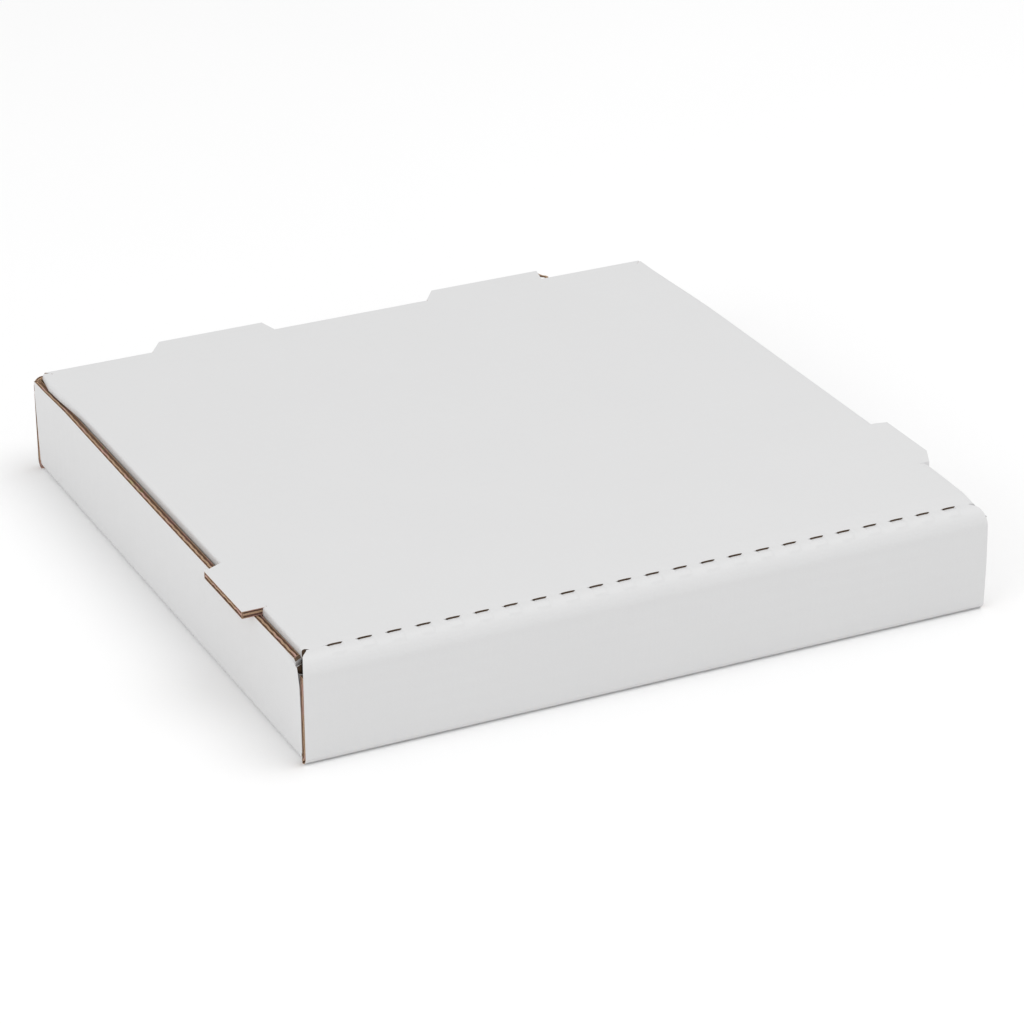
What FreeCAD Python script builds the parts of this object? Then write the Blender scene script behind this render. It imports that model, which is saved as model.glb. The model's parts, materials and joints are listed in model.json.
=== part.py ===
import FreeCAD, Part
import math
import os
import Sketcher

# Folding carton for one pizza: a tray and its lid, both folded from one sheet of
# white-faced corrugated board.
# Frame: origin under the middle of the tray, +Z up, +Y towards the hinge wall,
# -Y towards the opening edge, X along the hinge. All lengths in millimetres.

# Driving sizes: name, value, meaning
DRIVING_SIZES = [
    ("inside_width", 304.8, "clear width between the side walls"),
    ("inside_depth", 308.8, "clear depth between the front wall and the hinge wall"),
    ("wall_height", 44.0, "height of the side and front walls above the table"),
    ("board", 3.1, "thickness of the corrugated board"),
    ("fold_radius", 0.5, "inside radius of a plain fold"),
    ("hinge_radius", 4.9, "inside radius of the wide fold at the top of the hinge wall"),
    ("layer_gap", 0.3, "air between two layers of board that lie together"),
    ("rest_gap", 0.1, "air between the lid and the tops of the walls"),
    ("crease_gap", 0.1, "air between the lid and the tray along the slotted crease"),
    ("slot_count", 23, "slots cut along the crease"),
    ("slot_length", 6.35, "length of one slot"),
    ("slot_pitch", 12.7, "from one slot to the next"),
    ("slot_opening", 1.3, "how far a slot gapes at its middle"),
    ("corner_flap_length", 50.0, "length of the tray's four corner flaps"),
    ("corner_flap_taper", 12.0, "how much the lower corner of a corner flap is cut back"),
    ("front_flap_spring", 22.0, "degrees by which the two front corner flaps spring inwards"),
    ("wall_bevel", 4.0, "slant at the rear end of each side wall's top edge"),
    ("side_flap_depth", 30.0, "how far the lid's side flaps reach down from its top"),
    ("side_flap_taper", 9.0, "slant of the ends of the lid's side flaps"),
    ("tuck_depth", 28.0, "how far the lid's front tuck flap reaches down from its top"),
    ("tuck_lean", 3.5, "degrees by which the tuck flap leans inwards"),
    ("tuck_taper", 8.0, "slant of the ends of the tuck flap"),
    ("tuck_room", 0.5, "air between the tuck flap's fold and the front wall"),
    ("tuck_end", 10.4, "from the side wall's inner face to the end of the tuck flap"),
    ("corner_cut", 3.1, "how far the lid's front fold ends short of its side fold"),
    ("ear_start", 49.0, "from the hinge wall's outer face to the rear side of an ear"),
    ("ear_length", 45.0, "length of an ear at the lid"),
    ("ear_taper", 4.5, "how much the front side of an ear slants back"),
    ("ear_reach", 5.6, "how far an ear stands out past the side wall"),
    ("tab_place", 69.0, "from the middle of the lid to the middle of a front tab"),
    ("tab_length", 60.0, "length of a front tab at the lid"),
    ("tab_taper", 4.5, "slant of each end of a front tab"),
    ("tab_reach", 6.0, "how far a front tab stands out past the front wall"),
]

# Places and sizes worked out from the driving ones: name, formula
WORKED_OUT = [
    ("half_width", "size.inside_width / 2 + size.board"),
    ("half_depth", "size.inside_depth / 2 + size.board"),
    ("wall_inside_x", "size.inside_width / 2"),
    ("wall_inside_y", "size.inside_depth / 2"),
    ("table", "0 * size.board"),
    ("outside_fold", "size.fold_radius + size.board"),
    ("hinge_outside", "size.hinge_radius + size.board"),
    ("fold_start_x", "half_width - outside_fold"),
    ("fold_start_y", "half_depth - outside_fold"),
    ("lid_bottom", "size.wall_height + size.rest_gap"),
    ("lid_top", "lid_bottom + size.board"),
    ("hinge_start", "lid_top - hinge_outside"),
    ("hinge_line", "half_depth - hinge_outside"),
    ("hinge_tail", "hinge_line - 1"),
    ("hinge_clear_x", "half_width + 1"),
    # Tray: side walls and corner flaps
    ("flap_face", "wall_inside_y - size.layer_gap"),
    ("flap_back", "flap_face - size.board"),
    ("wall_end", "flap_face - outside_fold"),
    ("flap_bottom", "outside_fold + 2 * size.layer_gap"),
    ("flap_top", "hinge_start - size.layer_gap"),
    ("flap_height", "flap_top - flap_bottom"),
    ("flap_tip", "fold_start_x - size.corner_flap_length"),
    ("flap_cut_x", "flap_tip + size.corner_flap_taper"),
    ("flap_cut_z", "flap_bottom + size.corner_flap_taper"),
    ("flap_cut_edge", "flap_tip - 1"),
    ("flap_cut_low", "flap_bottom - 0.1"),
    ("flap_cut_reach", "wall_inside_y - size.layer_gap / 2"),
    ("bevel_start", "wall_end - size.wall_bevel"),
    ("bevel_low", "size.wall_height - size.wall_bevel"),
    ("spring_cos", "cos(size.front_flap_spring * 1 deg)"),
    ("spring_sin", "sin(size.front_flap_spring * 1 deg)"),
    ("spring_out_x", "fold_start_x - outside_fold * spring_sin"),
    ("spring_out_y", "wall_end + outside_fold * spring_cos"),
    ("spring_in_x", "fold_start_x - size.fold_radius * spring_sin"),
    ("spring_in_y", "wall_end + size.fold_radius * spring_cos"),
    ("spring_tip_out_x", "spring_out_x - size.corner_flap_length * spring_cos"),
    ("spring_tip_out_y", "spring_out_y - size.corner_flap_length * spring_sin"),
    ("spring_tip_in_x", "spring_in_x - size.corner_flap_length * spring_cos"),
    ("spring_tip_in_y", "spring_in_y - size.corner_flap_length * spring_sin"),
    # Slots
    ("slot_near", "-(size.slot_count - 1) * size.slot_pitch / 2 - size.slot_length / 2"),
    ("slot_far", "slot_near + size.slot_length"),
    ("slot_curve", "(size.slot_length ^ 2 / 4 + size.slot_opening ^ 2) / (2 * size.slot_opening)"),
    ("slot_row", "(size.slot_count - 1) * size.slot_pitch"),
    ("slot_depth", "size.board + 2 * size.slot_opening"),
    # Lid
    ("lid_half", "wall_inside_x - size.layer_gap"),
    ("lid_fold_x", "lid_half - outside_fold"),
    ("lid_flap_inside", "lid_half - size.board"),
    ("lid_rear", "hinge_line - size.crease_gap"),
    ("lid_front", "wall_inside_y - size.tuck_room"),
    ("lid_fold_y", "lid_front - outside_fold"),
    ("lid_fold_z", "lid_top - outside_fold"),
    ("lid_fold_end", "lid_fold_y - size.layer_gap"),
    ("side_flap_low", "lid_top - size.side_flap_depth"),
    ("side_flap_rear", "lid_rear - size.side_flap_taper / 3"),
    ("side_flap_rear_low", "lid_rear - size.side_flap_taper"),
    ("side_flap_front", "lid_fold_end - size.side_flap_taper / 3"),
    ("side_flap_front_low", "lid_fold_end - 2 * size.side_flap_taper"),
    ("tuck_cos", "cos(size.tuck_lean * 1 deg)"),
    ("tuck_sin", "sin(size.tuck_lean * 1 deg)"),
    ("tuck_run", "size.tuck_depth - outside_fold"),
    ("tuck_out_y", "lid_fold_y + outside_fold * tuck_cos"),
    ("tuck_out_z", "lid_fold_z - outside_fold * tuck_sin"),
    ("tuck_in_y", "lid_fold_y + size.fold_radius * tuck_cos"),
    ("tuck_in_z", "lid_fold_z - size.fold_radius * tuck_sin"),
    ("tuck_tip_out_y", "tuck_out_y - tuck_run * tuck_sin"),
    ("tuck_tip_out_z", "tuck_out_z - tuck_run * tuck_cos"),
    ("tuck_tip_in_y", "tuck_in_y - tuck_run * tuck_sin"),
    ("tuck_tip_in_z", "tuck_in_z - tuck_run * tuck_cos"),
    ("tuck_half", "lid_half - size.corner_cut"),
    ("tuck_top_half", "wall_inside_x - size.tuck_end"),
    ("tuck_tip_half", "tuck_top_half - size.tuck_taper"),
    ("tuck_clear_x", "tuck_half + 1"),
    ("tuck_clear_z", "lid_top - size.tuck_depth - 1"),
    ("tuck_cut_start", "tuck_tip_in_y - 1"),
    ("tuck_cut_reach", "lid_front - tuck_cut_start + 1"),
    # Ears and tabs
    ("ear_rear", "half_depth - size.ear_start"),
    ("ear_front", "ear_rear - size.ear_length"),
    ("ear_tip_front", "ear_front + size.ear_taper"),
    ("ear_edge", "half_width + size.ear_reach"),
    ("ear_material", "ear_edge - lid_half"),
    ("ear_notch_low", "lid_top - outside_fold - ear_material"),
    ("ear_front_run", "ear_front + lid_fold_end"),
    ("ear_rear_run", "lid_rear - ear_rear"),
    ("tab_root", "lid_fold_y - size.board"),
    ("tab_inner", "size.tab_place - size.tab_length / 2"),
    ("tab_outer", "size.tab_place + size.tab_length / 2"),
    ("tab_tip_inner", "tab_inner + size.tab_taper"),
    ("tab_tip_outer", "tab_outer - size.tab_taper"),
    ("tab_edge", "half_depth + size.tab_reach"),
    ("tab_material", "tab_edge - lid_front"),
    ("tab_notch_height", "outside_fold + tab_material"),
]

document = FreeCAD.newDocument("pizza_box")
size_sheet = document.addObject("Spreadsheet::Sheet", "size")
place_sheet = document.addObject("Spreadsheet::Sheet", "place")
driving_names = {name for name, value, meaning in DRIVING_SIZES}


def fill_sheets():
    """Write the driving sizes as plain numbers and the worked-out places as formulas."""
    for row, (name, value, meaning) in enumerate(DRIVING_SIZES, start=1):
        size_sheet.set(f"A{row}", name)
        size_sheet.set(f"B{row}", str(value))
        size_sheet.setAlias(f"B{row}", name)
        size_sheet.set(f"C{row}", meaning)
    document.recompute()
    for row, (name, formula) in enumerate(WORKED_OUT, start=1):
        place_sheet.set(f"A{row}", name)
        place_sheet.set(f"B{row}", "=" + formula)
        place_sheet.setAlias(f"B{row}", name)
    document.recompute()


def value_of(name):
    """The number behind a named size or place, which may have a minus sign in front."""
    if name.startswith("-"):
        return -value_of(name[1:])
    sheet = size_sheet if name in driving_names else place_sheet
    return float(sheet.get(name))


def formula_of(name):
    """The expression that binds a length to a named size or place."""
    if name.startswith("-"):
        return "-" + formula_of(name[1:])
    return ("size." if name in driving_names else "place.") + name


def opposite(name):
    """The same place on the other side of the middle."""
    return name[1:] if name.startswith("-") else "-" + name


def origin_plane(body, role):
    """One of the three planes at the origin of a body."""
    for feature in body.Origin.OriginFeatures:
        if feature.Role == role:
            return feature
    raise ValueError(role)


def outline(body, name, role, offset, corners):
    """A closed sketch. Each corner is (across, up) or (across, up, radius, bulge).

    A corner with a radius starts an arc that ends at the next corner. Bulge is 1 where
    the arc turns anticlockwise and -1 where it turns clockwise.
    """
    sketch = body.newObject("Sketcher::SketchObject", name)
    sketch.AttachmentSupport = (origin_plane(body, role), [""])
    sketch.MapMode = "FlatFace"
    if offset:
        sketch.setExpression(".AttachmentOffset.Base.z", formula_of(offset))
    points = [FreeCAD.Vector(value_of(c[0]), value_of(c[1]), 0) for c in corners]
    count = len(corners)
    first_ends = []
    last_ends = []
    for index, corner in enumerate(corners):
        start = points[index]
        end = points[(index + 1) % count]
        if len(corner) == 2:
            edge = sketch.addGeometry(Part.LineSegment(start, end), False)
            first_ends.append((edge, 1))
            last_ends.append((edge, 2))
            continue
        radius = value_of(corner[2])
        turn = corner[3]
        chord = end - start
        rise = math.sqrt(max(radius ** 2 - (chord.Length / 2) ** 2, 0.0))
        side = FreeCAD.Vector(-chord.y, chord.x, 0).normalize()
        centre = (start + end) * 0.5 + side * rise * turn
        from_angle = math.atan2(start.y - centre.y, start.x - centre.x)
        to_angle = math.atan2(end.y - centre.y, end.x - centre.x)
        if turn < 0:
            from_angle, to_angle = to_angle, from_angle
        circle = Part.Circle(centre, FreeCAD.Vector(0, 0, 1), radius)
        edge = sketch.addGeometry(Part.ArcOfCircle(circle, from_angle, to_angle), False)
        first_ends.append((edge, 1 if turn > 0 else 2))
        last_ends.append((edge, 2 if turn > 0 else 1))
        number = sketch.addConstraint(Sketcher.Constraint("Radius", edge, radius))
        sketch.setExpression(f"Constraints[{number}]", formula_of(corner[2]))
    for index in range(count):
        joint = (*last_ends[index], *first_ends[(index + 1) % count])
        sketch.addConstraint(Sketcher.Constraint("Coincident", *joint))
    for index, corner in enumerate(corners):
        edge, end = first_ends[index]
        for kind, name_of_place in (("DistanceX", corner[0]), ("DistanceY", corner[1])):
            value = value_of(name_of_place)
            constraint = Sketcher.Constraint(kind, -1, 1, edge, end, value)
            number = sketch.addConstraint(constraint)
            sketch.setExpression(f"Constraints[{number}]", formula_of(name_of_place))
    return sketch


def pad(body, sketch, length, both_ways=False, backwards=False):
    """Board made from an outline. Length names a place or a size."""
    feature = body.newObject("PartDesign::Pad", sketch.Name + "_board")
    feature.Profile = sketch
    feature.Midplane = both_ways
    feature.Reversed = backwards
    feature.setExpression("Length", length)
    sketch.Visibility = False
    document.recompute()
    return feature


def cut(body, sketch, length, both_ways=False, backwards=False):
    """Board taken away inside an outline. It stops the script if nothing is cut."""
    before = body.Shape.Volume
    feature = body.newObject("PartDesign::Pocket", sketch.Name + "_cut")
    feature.Profile = sketch
    feature.Midplane = both_ways
    feature.Reversed = backwards
    feature.setExpression("Length", length)
    sketch.Visibility = False
    document.recompute()
    if not body.Shape.Volume < before:
        raise ValueError(sketch.Name + " cuts nothing")
    return feature


def build_tray():
    """Floor, hinge wall with its slotted fold, front wall, side walls and corner flaps."""
    body = document.addObject("PartDesign::Body", "tray")
    body.Label = "tray"

    middle = outline(body, "floor_and_walls", "YZ_Plane", None, [
        ("-half_depth", "wall_height"),
        ("-half_depth", "outside_fold", "outside_fold", 1),
        ("-fold_start_y", "table"),
        ("fold_start_y", "table", "outside_fold", 1),
        ("half_depth", "outside_fold"),
        ("half_depth", "hinge_start", "hinge_outside", 1),
        ("hinge_line", "lid_top"),
        ("hinge_line", "lid_bottom", "hinge_radius", -1),
        ("wall_inside_y", "hinge_start"),
        ("wall_inside_y", "outside_fold", "fold_radius", -1),
        ("fold_start_y", "board"),
        ("-fold_start_y", "board", "fold_radius", -1),
        ("-wall_inside_y", "outside_fold"),
        ("-wall_inside_y", "wall_height"),
    ])
    pad(body, middle, "2 * place.half_width", both_ways=True)

    # The floor stops where the side walls' folds begin
    for side, across, edge in (("left", "-fold_start_x", "-hinge_clear_x"),
                               ("right", "fold_start_x", "hinge_clear_x")):
        strip = outline(body, side + "_floor_edge", "XY_Plane", None, [
            (across, "-fold_start_y"),
            (edge, "-fold_start_y"),
            (edge, "fold_start_y"),
            (across, "fold_start_y"),
        ])
        cut(body, strip, "place.outside_fold", backwards=True)

    for side in ("left", "right"):
        build_side_wall(body, side)

    # The hinge fold narrows towards the lid at both ends
    for side, sign in (("left", "-"), ("right", "")):
        shoulder = outline(body, side + "_shoulder", "XY_Plane", "hinge_start", [
            (sign + "half_width", "half_depth"),
            (sign + "hinge_clear_x", "half_depth"),
            (sign + "hinge_clear_x", "hinge_tail"),
            (sign + "lid_half", "hinge_tail"),
            (sign + "lid_half", "hinge_line"),
        ])
        cut(body, shoulder, "2 * place.hinge_outside", backwards=True)

    # One slot, then the row of them
    slot = outline(body, "slot", "XY_Plane", "lid_top", [
        ("slot_near", "hinge_tail"),
        ("slot_far", "hinge_tail"),
        ("slot_far", "hinge_line", "slot_curve", 1),
        ("slot_near", "hinge_line"),
    ])
    first_slot = cut(body, slot, "place.slot_depth")
    row = body.newObject("PartDesign::LinearPattern", "slot_row_pattern")
    row.Originals = [first_slot]
    row.Direction = (slot, ["H_Axis"])
    row.setExpression("Length", "place.slot_row")
    row.setExpression("Occurrences", "size.slot_count")
    body.Tip = row
    document.recompute()
    return body


def build_side_wall(body, side):
    """One side wall with its fold to the floor and its two corner flaps."""
    sign = "-" if side == "left" else ""
    turn = -1 if side == "left" else 1

    fold = outline(body, side + "_wall_fold", "XZ_Plane", None, [
        (sign + "fold_start_x", "table", "outside_fold", turn),
        (sign + "half_width", "outside_fold"),
        (sign + "wall_inside_x", "outside_fold", "fold_radius", -turn),
        (sign + "fold_start_x", "board"),
    ])
    pad(body, fold, "2 * place.wall_end", both_ways=True)

    inner_face = sign + "wall_inside_x"
    wall = outline(body, side + "_wall", "YZ_Plane", inner_face, [
        ("-wall_end", "outside_fold"),
        ("wall_end", "outside_fold"),
        ("wall_end", "bevel_low"),
        ("bevel_start", "wall_height"),
        ("-wall_end", "wall_height"),
    ])
    pad(body, wall, "size.board", backwards=side == "left")

    rear = outline(body, side + "_rear_corner_flap", "XY_Plane", "flap_bottom", [
        (sign + "half_width", "wall_end", "outside_fold", turn),
        (sign + "fold_start_x", "flap_face"),
        (sign + "flap_tip", "flap_face"),
        (sign + "flap_tip", "flap_back"),
        (sign + "fold_start_x", "flap_back", "fold_radius", -turn),
        (sign + "wall_inside_x", "wall_end"),
    ])
    pad(body, rear, "place.flap_height")

    front = outline(body, side + "_front_corner_flap", "XY_Plane", "flap_bottom", [
        (sign + "half_width", "-wall_end", "outside_fold", -turn),
        (sign + "spring_out_x", "-spring_out_y"),
        (sign + "spring_tip_out_x", "-spring_tip_out_y"),
        (sign + "spring_tip_in_x", "-spring_tip_in_y"),
        (sign + "spring_in_x", "-spring_in_y", "fold_radius", turn),
        (sign + "wall_inside_x", "-wall_end"),
    ])
    pad(body, front, "place.flap_height")

    taper = outline(body, side + "_corner_flap_taper", "XZ_Plane", None, [
        (sign + "flap_cut_edge", "flap_cut_low"),
        (sign + "flap_cut_x", "flap_cut_low"),
        (sign + "flap_cut_edge", "flap_cut_z"),
    ])
    cut(body, taper, "2 * place.flap_cut_reach", both_ways=True)


def build_lid():
    """Lid panel, two side flaps, front tuck flap, two ears and two front tabs."""
    body = document.addObject("PartDesign::Body", "lid")
    body.Label = "lid"

    panel = outline(body, "lid_panel", "XY_Plane", "lid_bottom", [
        ("-lid_fold_x", "-lid_fold_y"),
        ("lid_fold_x", "-lid_fold_y"),
        ("lid_fold_x", "lid_rear"),
        ("-lid_fold_x", "lid_rear"),
    ])
    pad(body, panel, "size.board")

    tuck = outline(body, "tuck_flap", "YZ_Plane", None, [
        ("-lid_fold_y", "lid_top", "outside_fold", 1),
        ("-tuck_out_y", "tuck_out_z"),
        ("-tuck_tip_out_y", "tuck_tip_out_z"),
        ("-tuck_tip_in_y", "tuck_tip_in_z"),
        ("-tuck_in_y", "tuck_in_z", "fold_radius", -1),
        ("-lid_fold_y", "lid_bottom"),
    ])
    pad(body, tuck, "2 * place.tuck_half", both_ways=True)

    for side in ("left", "right"):
        sign = "-" if side == "left" else ""
        ends = outline(body, side + "_tuck_end", "XZ_Plane", "tuck_cut_start", [
            (sign + "tuck_half", "lid_fold_z"),
            (sign + "tuck_top_half", "flap_top"),
            (sign + "tuck_tip_half", "tuck_clear_z"),
            (sign + "tuck_clear_x", "tuck_clear_z"),
            (sign + "tuck_clear_x", "lid_fold_z"),
        ])
        cut(body, ends, "place.tuck_cut_reach", backwards=True)

        notch = outline(body, side + "_tab_notch", "XY_Plane", "lid_top", [
            (sign + "tab_inner", "-tab_root"),
            (sign + "tab_outer", "-tab_root"),
            (sign + "tab_outer", "-tab_edge"),
            (sign + "tab_inner", "-tab_edge"),
        ])
        cut(body, notch, "place.tab_notch_height")

        tab = outline(body, side + "_tab", "XY_Plane", "lid_bottom", [
            (sign + "tab_inner", "-tab_root"),
            (sign + "tab_outer", "-tab_root"),
            (sign + "tab_outer", "-lid_front"),
            (sign + "tab_tip_outer", "-tab_edge"),
            (sign + "tab_tip_inner", "-tab_edge"),
            (sign + "tab_inner", "-lid_front"),
        ])
        pad(body, tab, "size.board")
        build_lid_side(body, side)
    return body


def build_lid_side(body, side):
    """One side flap of the lid with its fold, and the ear cut out of it."""
    sign = "-" if side == "left" else ""
    turn = 1 if side == "left" else -1

    for part, rear, run in (("front", "ear_front", "ear_front_run"),
                            ("rear", "lid_rear", "ear_rear_run")):
        fold = outline(body, f"{side}_{part}_lid_fold", "XZ_Plane", opposite(rear), [
            (sign + "lid_fold_x", "lid_top", "outside_fold", turn),
            (sign + "lid_half", "lid_fold_z"),
            (sign + "lid_flap_inside", "lid_fold_z", "fold_radius", -turn),
            (sign + "lid_fold_x", "lid_bottom"),
        ])
        pad(body, fold, "place." + run)

    inner_face = sign + "lid_flap_inside"
    flap = outline(body, side + "_side_flap", "YZ_Plane", inner_face, [
        ("lid_rear", "lid_fold_z"),
        ("ear_rear", "lid_fold_z"),
        ("ear_rear", "ear_notch_low"),
        ("ear_front", "ear_notch_low"),
        ("ear_front", "lid_fold_z"),
        ("-lid_fold_end", "lid_fold_z"),
        ("-side_flap_front", "flap_top"),
        ("-side_flap_front_low", "side_flap_low"),
        ("side_flap_rear_low", "side_flap_low"),
        ("side_flap_rear", "flap_top"),
    ])
    pad(body, flap, "size.board", backwards=side == "left")

    ear = outline(body, side + "_ear", "XY_Plane", "lid_bottom", [
        (sign + "lid_fold_x", "ear_rear"),
        (sign + "ear_edge", "ear_rear"),
        (sign + "ear_edge", "ear_tip_front"),
        (sign + "lid_half", "ear_front"),
        (sign + "lid_fold_x", "ear_front"),
    ])
    pad(body, ear, "size.board")


def check_and_export(bodies):
    """Stop on a failed feature or a bad shape, then write one file for each body."""
    for item in document.Objects:
        if "Invalid" in item.State or "Error" in item.State:
            raise ValueError(f"{item.Name}: {item.State}")
    for body in bodies:
        shape = body.Shape
        if shape.isNull() or not shape.isValid() or len(shape.Solids) != 1:
            raise ValueError(f"{body.Label} is not one valid solid")
    os.makedirs("parts", exist_ok=True)
    for body in bodies:
        body.Shape.exportStep(f"parts/{body.Label}.step")
        box = body.Shape.BoundBox
        print(body.Label, "volume", round(body.Shape.Volume), "size",
              round(box.XLength, 2), round(box.YLength, 2), round(box.ZLength, 2))


fill_sheets()
check_and_export([build_tray(), build_lid()])
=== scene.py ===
import json
import logging
import math
from collections.abc import Callable
from dataclasses import dataclass, field
from enum import Enum, IntEnum

import bmesh
import bpy
from mathutils import Euler, Matrix, Vector
from mathutils.bvhtree import BVHTree


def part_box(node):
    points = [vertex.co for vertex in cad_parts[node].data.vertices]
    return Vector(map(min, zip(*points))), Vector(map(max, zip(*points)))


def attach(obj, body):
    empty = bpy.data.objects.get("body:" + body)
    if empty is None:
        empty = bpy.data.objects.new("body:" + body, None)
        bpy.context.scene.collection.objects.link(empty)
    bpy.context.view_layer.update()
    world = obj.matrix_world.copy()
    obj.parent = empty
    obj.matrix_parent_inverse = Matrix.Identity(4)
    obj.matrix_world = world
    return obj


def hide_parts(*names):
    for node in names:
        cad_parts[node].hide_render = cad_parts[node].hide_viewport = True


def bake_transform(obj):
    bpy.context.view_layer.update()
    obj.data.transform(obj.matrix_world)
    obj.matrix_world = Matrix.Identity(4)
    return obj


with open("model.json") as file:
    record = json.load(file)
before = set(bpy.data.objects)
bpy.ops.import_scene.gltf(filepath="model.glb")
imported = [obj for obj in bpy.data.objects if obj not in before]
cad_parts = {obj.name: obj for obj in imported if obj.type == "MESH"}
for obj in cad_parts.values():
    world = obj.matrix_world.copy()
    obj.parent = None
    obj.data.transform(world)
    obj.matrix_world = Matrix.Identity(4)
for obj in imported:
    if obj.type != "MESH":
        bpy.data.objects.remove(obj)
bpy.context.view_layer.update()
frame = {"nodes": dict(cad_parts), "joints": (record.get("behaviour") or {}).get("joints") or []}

# A folding carton for one pizza, in metres: a tray and its lid, folded from one sheet of
# white-faced corrugated board. The flutes run along X in the flat sheet.
LOG = logging.getLogger("pizza_box")
MM = 0.001
SHEET_UV = "sheet"
# How far a point may stand off the plane or the face that it is taken to lie on.
FINE_SLACK = 0.02 * MM
SLACK = 0.05 * MM


class Skin(IntEnum):
    """What a face of the board shows: its place in the list of materials.

    CUT is a cut edge, CORE the inside of an opened edge, darkened in part as painted shade, and the last a
    cut face in shade, coloured near black as painted shade.
    """

    WHITE = 0
    KRAFT = 1
    CUT = 2
    CORE = 3
    PAINTED_SHADE = 4


class Axis(Enum):
    """The three directions of the row frame."""

    X = Vector((1, 0, 0))
    Y = Vector((0, 1, 0))
    Z = Vector((0, 0, 1))


def smooth_step(low: float, high: float, value: float) -> float:
    """A value that rises smoothly from 0 at low to 1 at high."""
    share = min(max((value - low) / (high - low), 0.0), 1.0)
    return share * share * (3 - 2 * share)


@dataclass(frozen=True)
class Stretch:
    """A stretch of lengths or of angles over which a change comes in smoothly."""

    start: float
    end: float

    def share(self, value: float) -> float:
        """How much of the change there is: 0 at the start, 1 at the end."""
        return smooth_step(self.start, self.end, value)


@dataclass(frozen=True)
class Board:
    """Sizes of the corrugated board.

    thickness: from face to face. liner: each outer paper. medium: the fluted paper.
    flute_pitch: from one flute to the next. crush: share of the flutes' height left at
    a cut edge. open_depth: how far a cut edge is open between its liners. flute_step:
    spacing of the points along a modelled flute. crease_slack: how much wider than the
    board the outside of a plain fold is.
    """

    thickness: float = 3.1 * MM
    liner: float = 0.36 * MM
    medium: float = 0.85 * MM
    flute_pitch: float = 6.35 * MM
    crush: float = 0.3
    open_depth: float = 0.95 * MM
    flute_step: float = 0.62 * MM
    crease_slack: float = 0.5 * MM

    @property
    def flute_swing(self) -> float:
        """How far the middle of the medium swings to each side of the board's middle."""
        return ((self.thickness - self.medium) / 2 - self.liner) * self.crush

    @property
    def fold_radius(self) -> float:
        """The outer radius of a plain fold."""
        return self.thickness + self.crease_slack


@dataclass(frozen=True)
class Crease:
    """The slotted fold between the hinge wall and the lid.

    gap: the air between the tray's node and the lid's. strip: how much of the lid beside
    the crease moves with it. web_end: where the fold ends beside the lid's corner notch.
    web_steps: how finely the last stretch up to it is divided. fan_steps: the same for
    each bridge as it fans out. The bridges dip as they bend, by bridge_dip over
    dip_reach. Over each slot the lid's lip springs up, and the band's lip closes in and
    sinks under it. tear: how far the slots' +X ends run down the fold. lip_deg,
    swell_deg, narrow_deg and shift_deg: the angles round the fold over which its lip,
    the swelling under the lip, its narrowing at the ends and the row's shift come in.
    """

    slot_count: int = 23
    slot_length: float = 6.35 * MM
    slot_pitch: float = 12.7 * MM
    radius: float = 8.0 * MM
    inner_radius: float = 4.9 * MM
    gap: float = 0.1 * MM
    strip: float = 7 * MM
    web_end: float = 150.6 * MM
    web_steps: int = 6
    bridge_dip: float = 0.35 * MM
    dip_reach: float = 2.4 * MM
    lid_lip_rise: float = 0.2 * MM
    band_lip_close: float = 1.2 * MM
    band_lip_sink: float = 0.55 * MM
    tear: float = 1.1 * MM
    band_swell: float = 0.3 * MM
    fan_steps: int = 16
    lip_deg: Stretch = Stretch(66, 84)
    swell_deg: Stretch = Stretch(46, 56)
    narrow_deg: Stretch = Stretch(60, 90)
    shift_deg: Stretch = Stretch(20, 60)

    @property
    def slot_places(self) -> list[float]:
        """The middle of each slot along X."""
        first = -(self.slot_count - 1) * self.slot_pitch / 2
        return [first + index * self.slot_pitch for index in range(self.slot_count)]

    @property
    def row_end(self) -> float:
        """The outer end of the last slot."""
        return self.slot_places[-1] + self.slot_length / 2

    def lens(self, x: float) -> float:
        """How far x lies inside a slot: 1 in its middle, 0 at its ends and beyond."""
        return max(1 - self.across_slot(x) ** 2, 0.0)

    def near_slot_end(self, x: float) -> float:
        """How near x lies to the end of a slot that points to +X, 1 at that end."""
        nearest = min(self.slot_places, key=lambda place: abs(x - place - self.slot_length / 2))
        away = abs(x - nearest - self.slot_length / 2) / (self.slot_length / 6)
        return max(1 - away, 0.0)

    def across_slot(self, x: float) -> float:
        """How far x lies from the nearest slot's middle, in half slot lengths."""
        first = self.slot_places[0]
        nearest = round((x - first) / self.slot_pitch)
        nearest = min(max(nearest, 0), self.slot_count - 1)
        return abs(x - first - nearest * self.slot_pitch) / (self.slot_length / 2)


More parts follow.
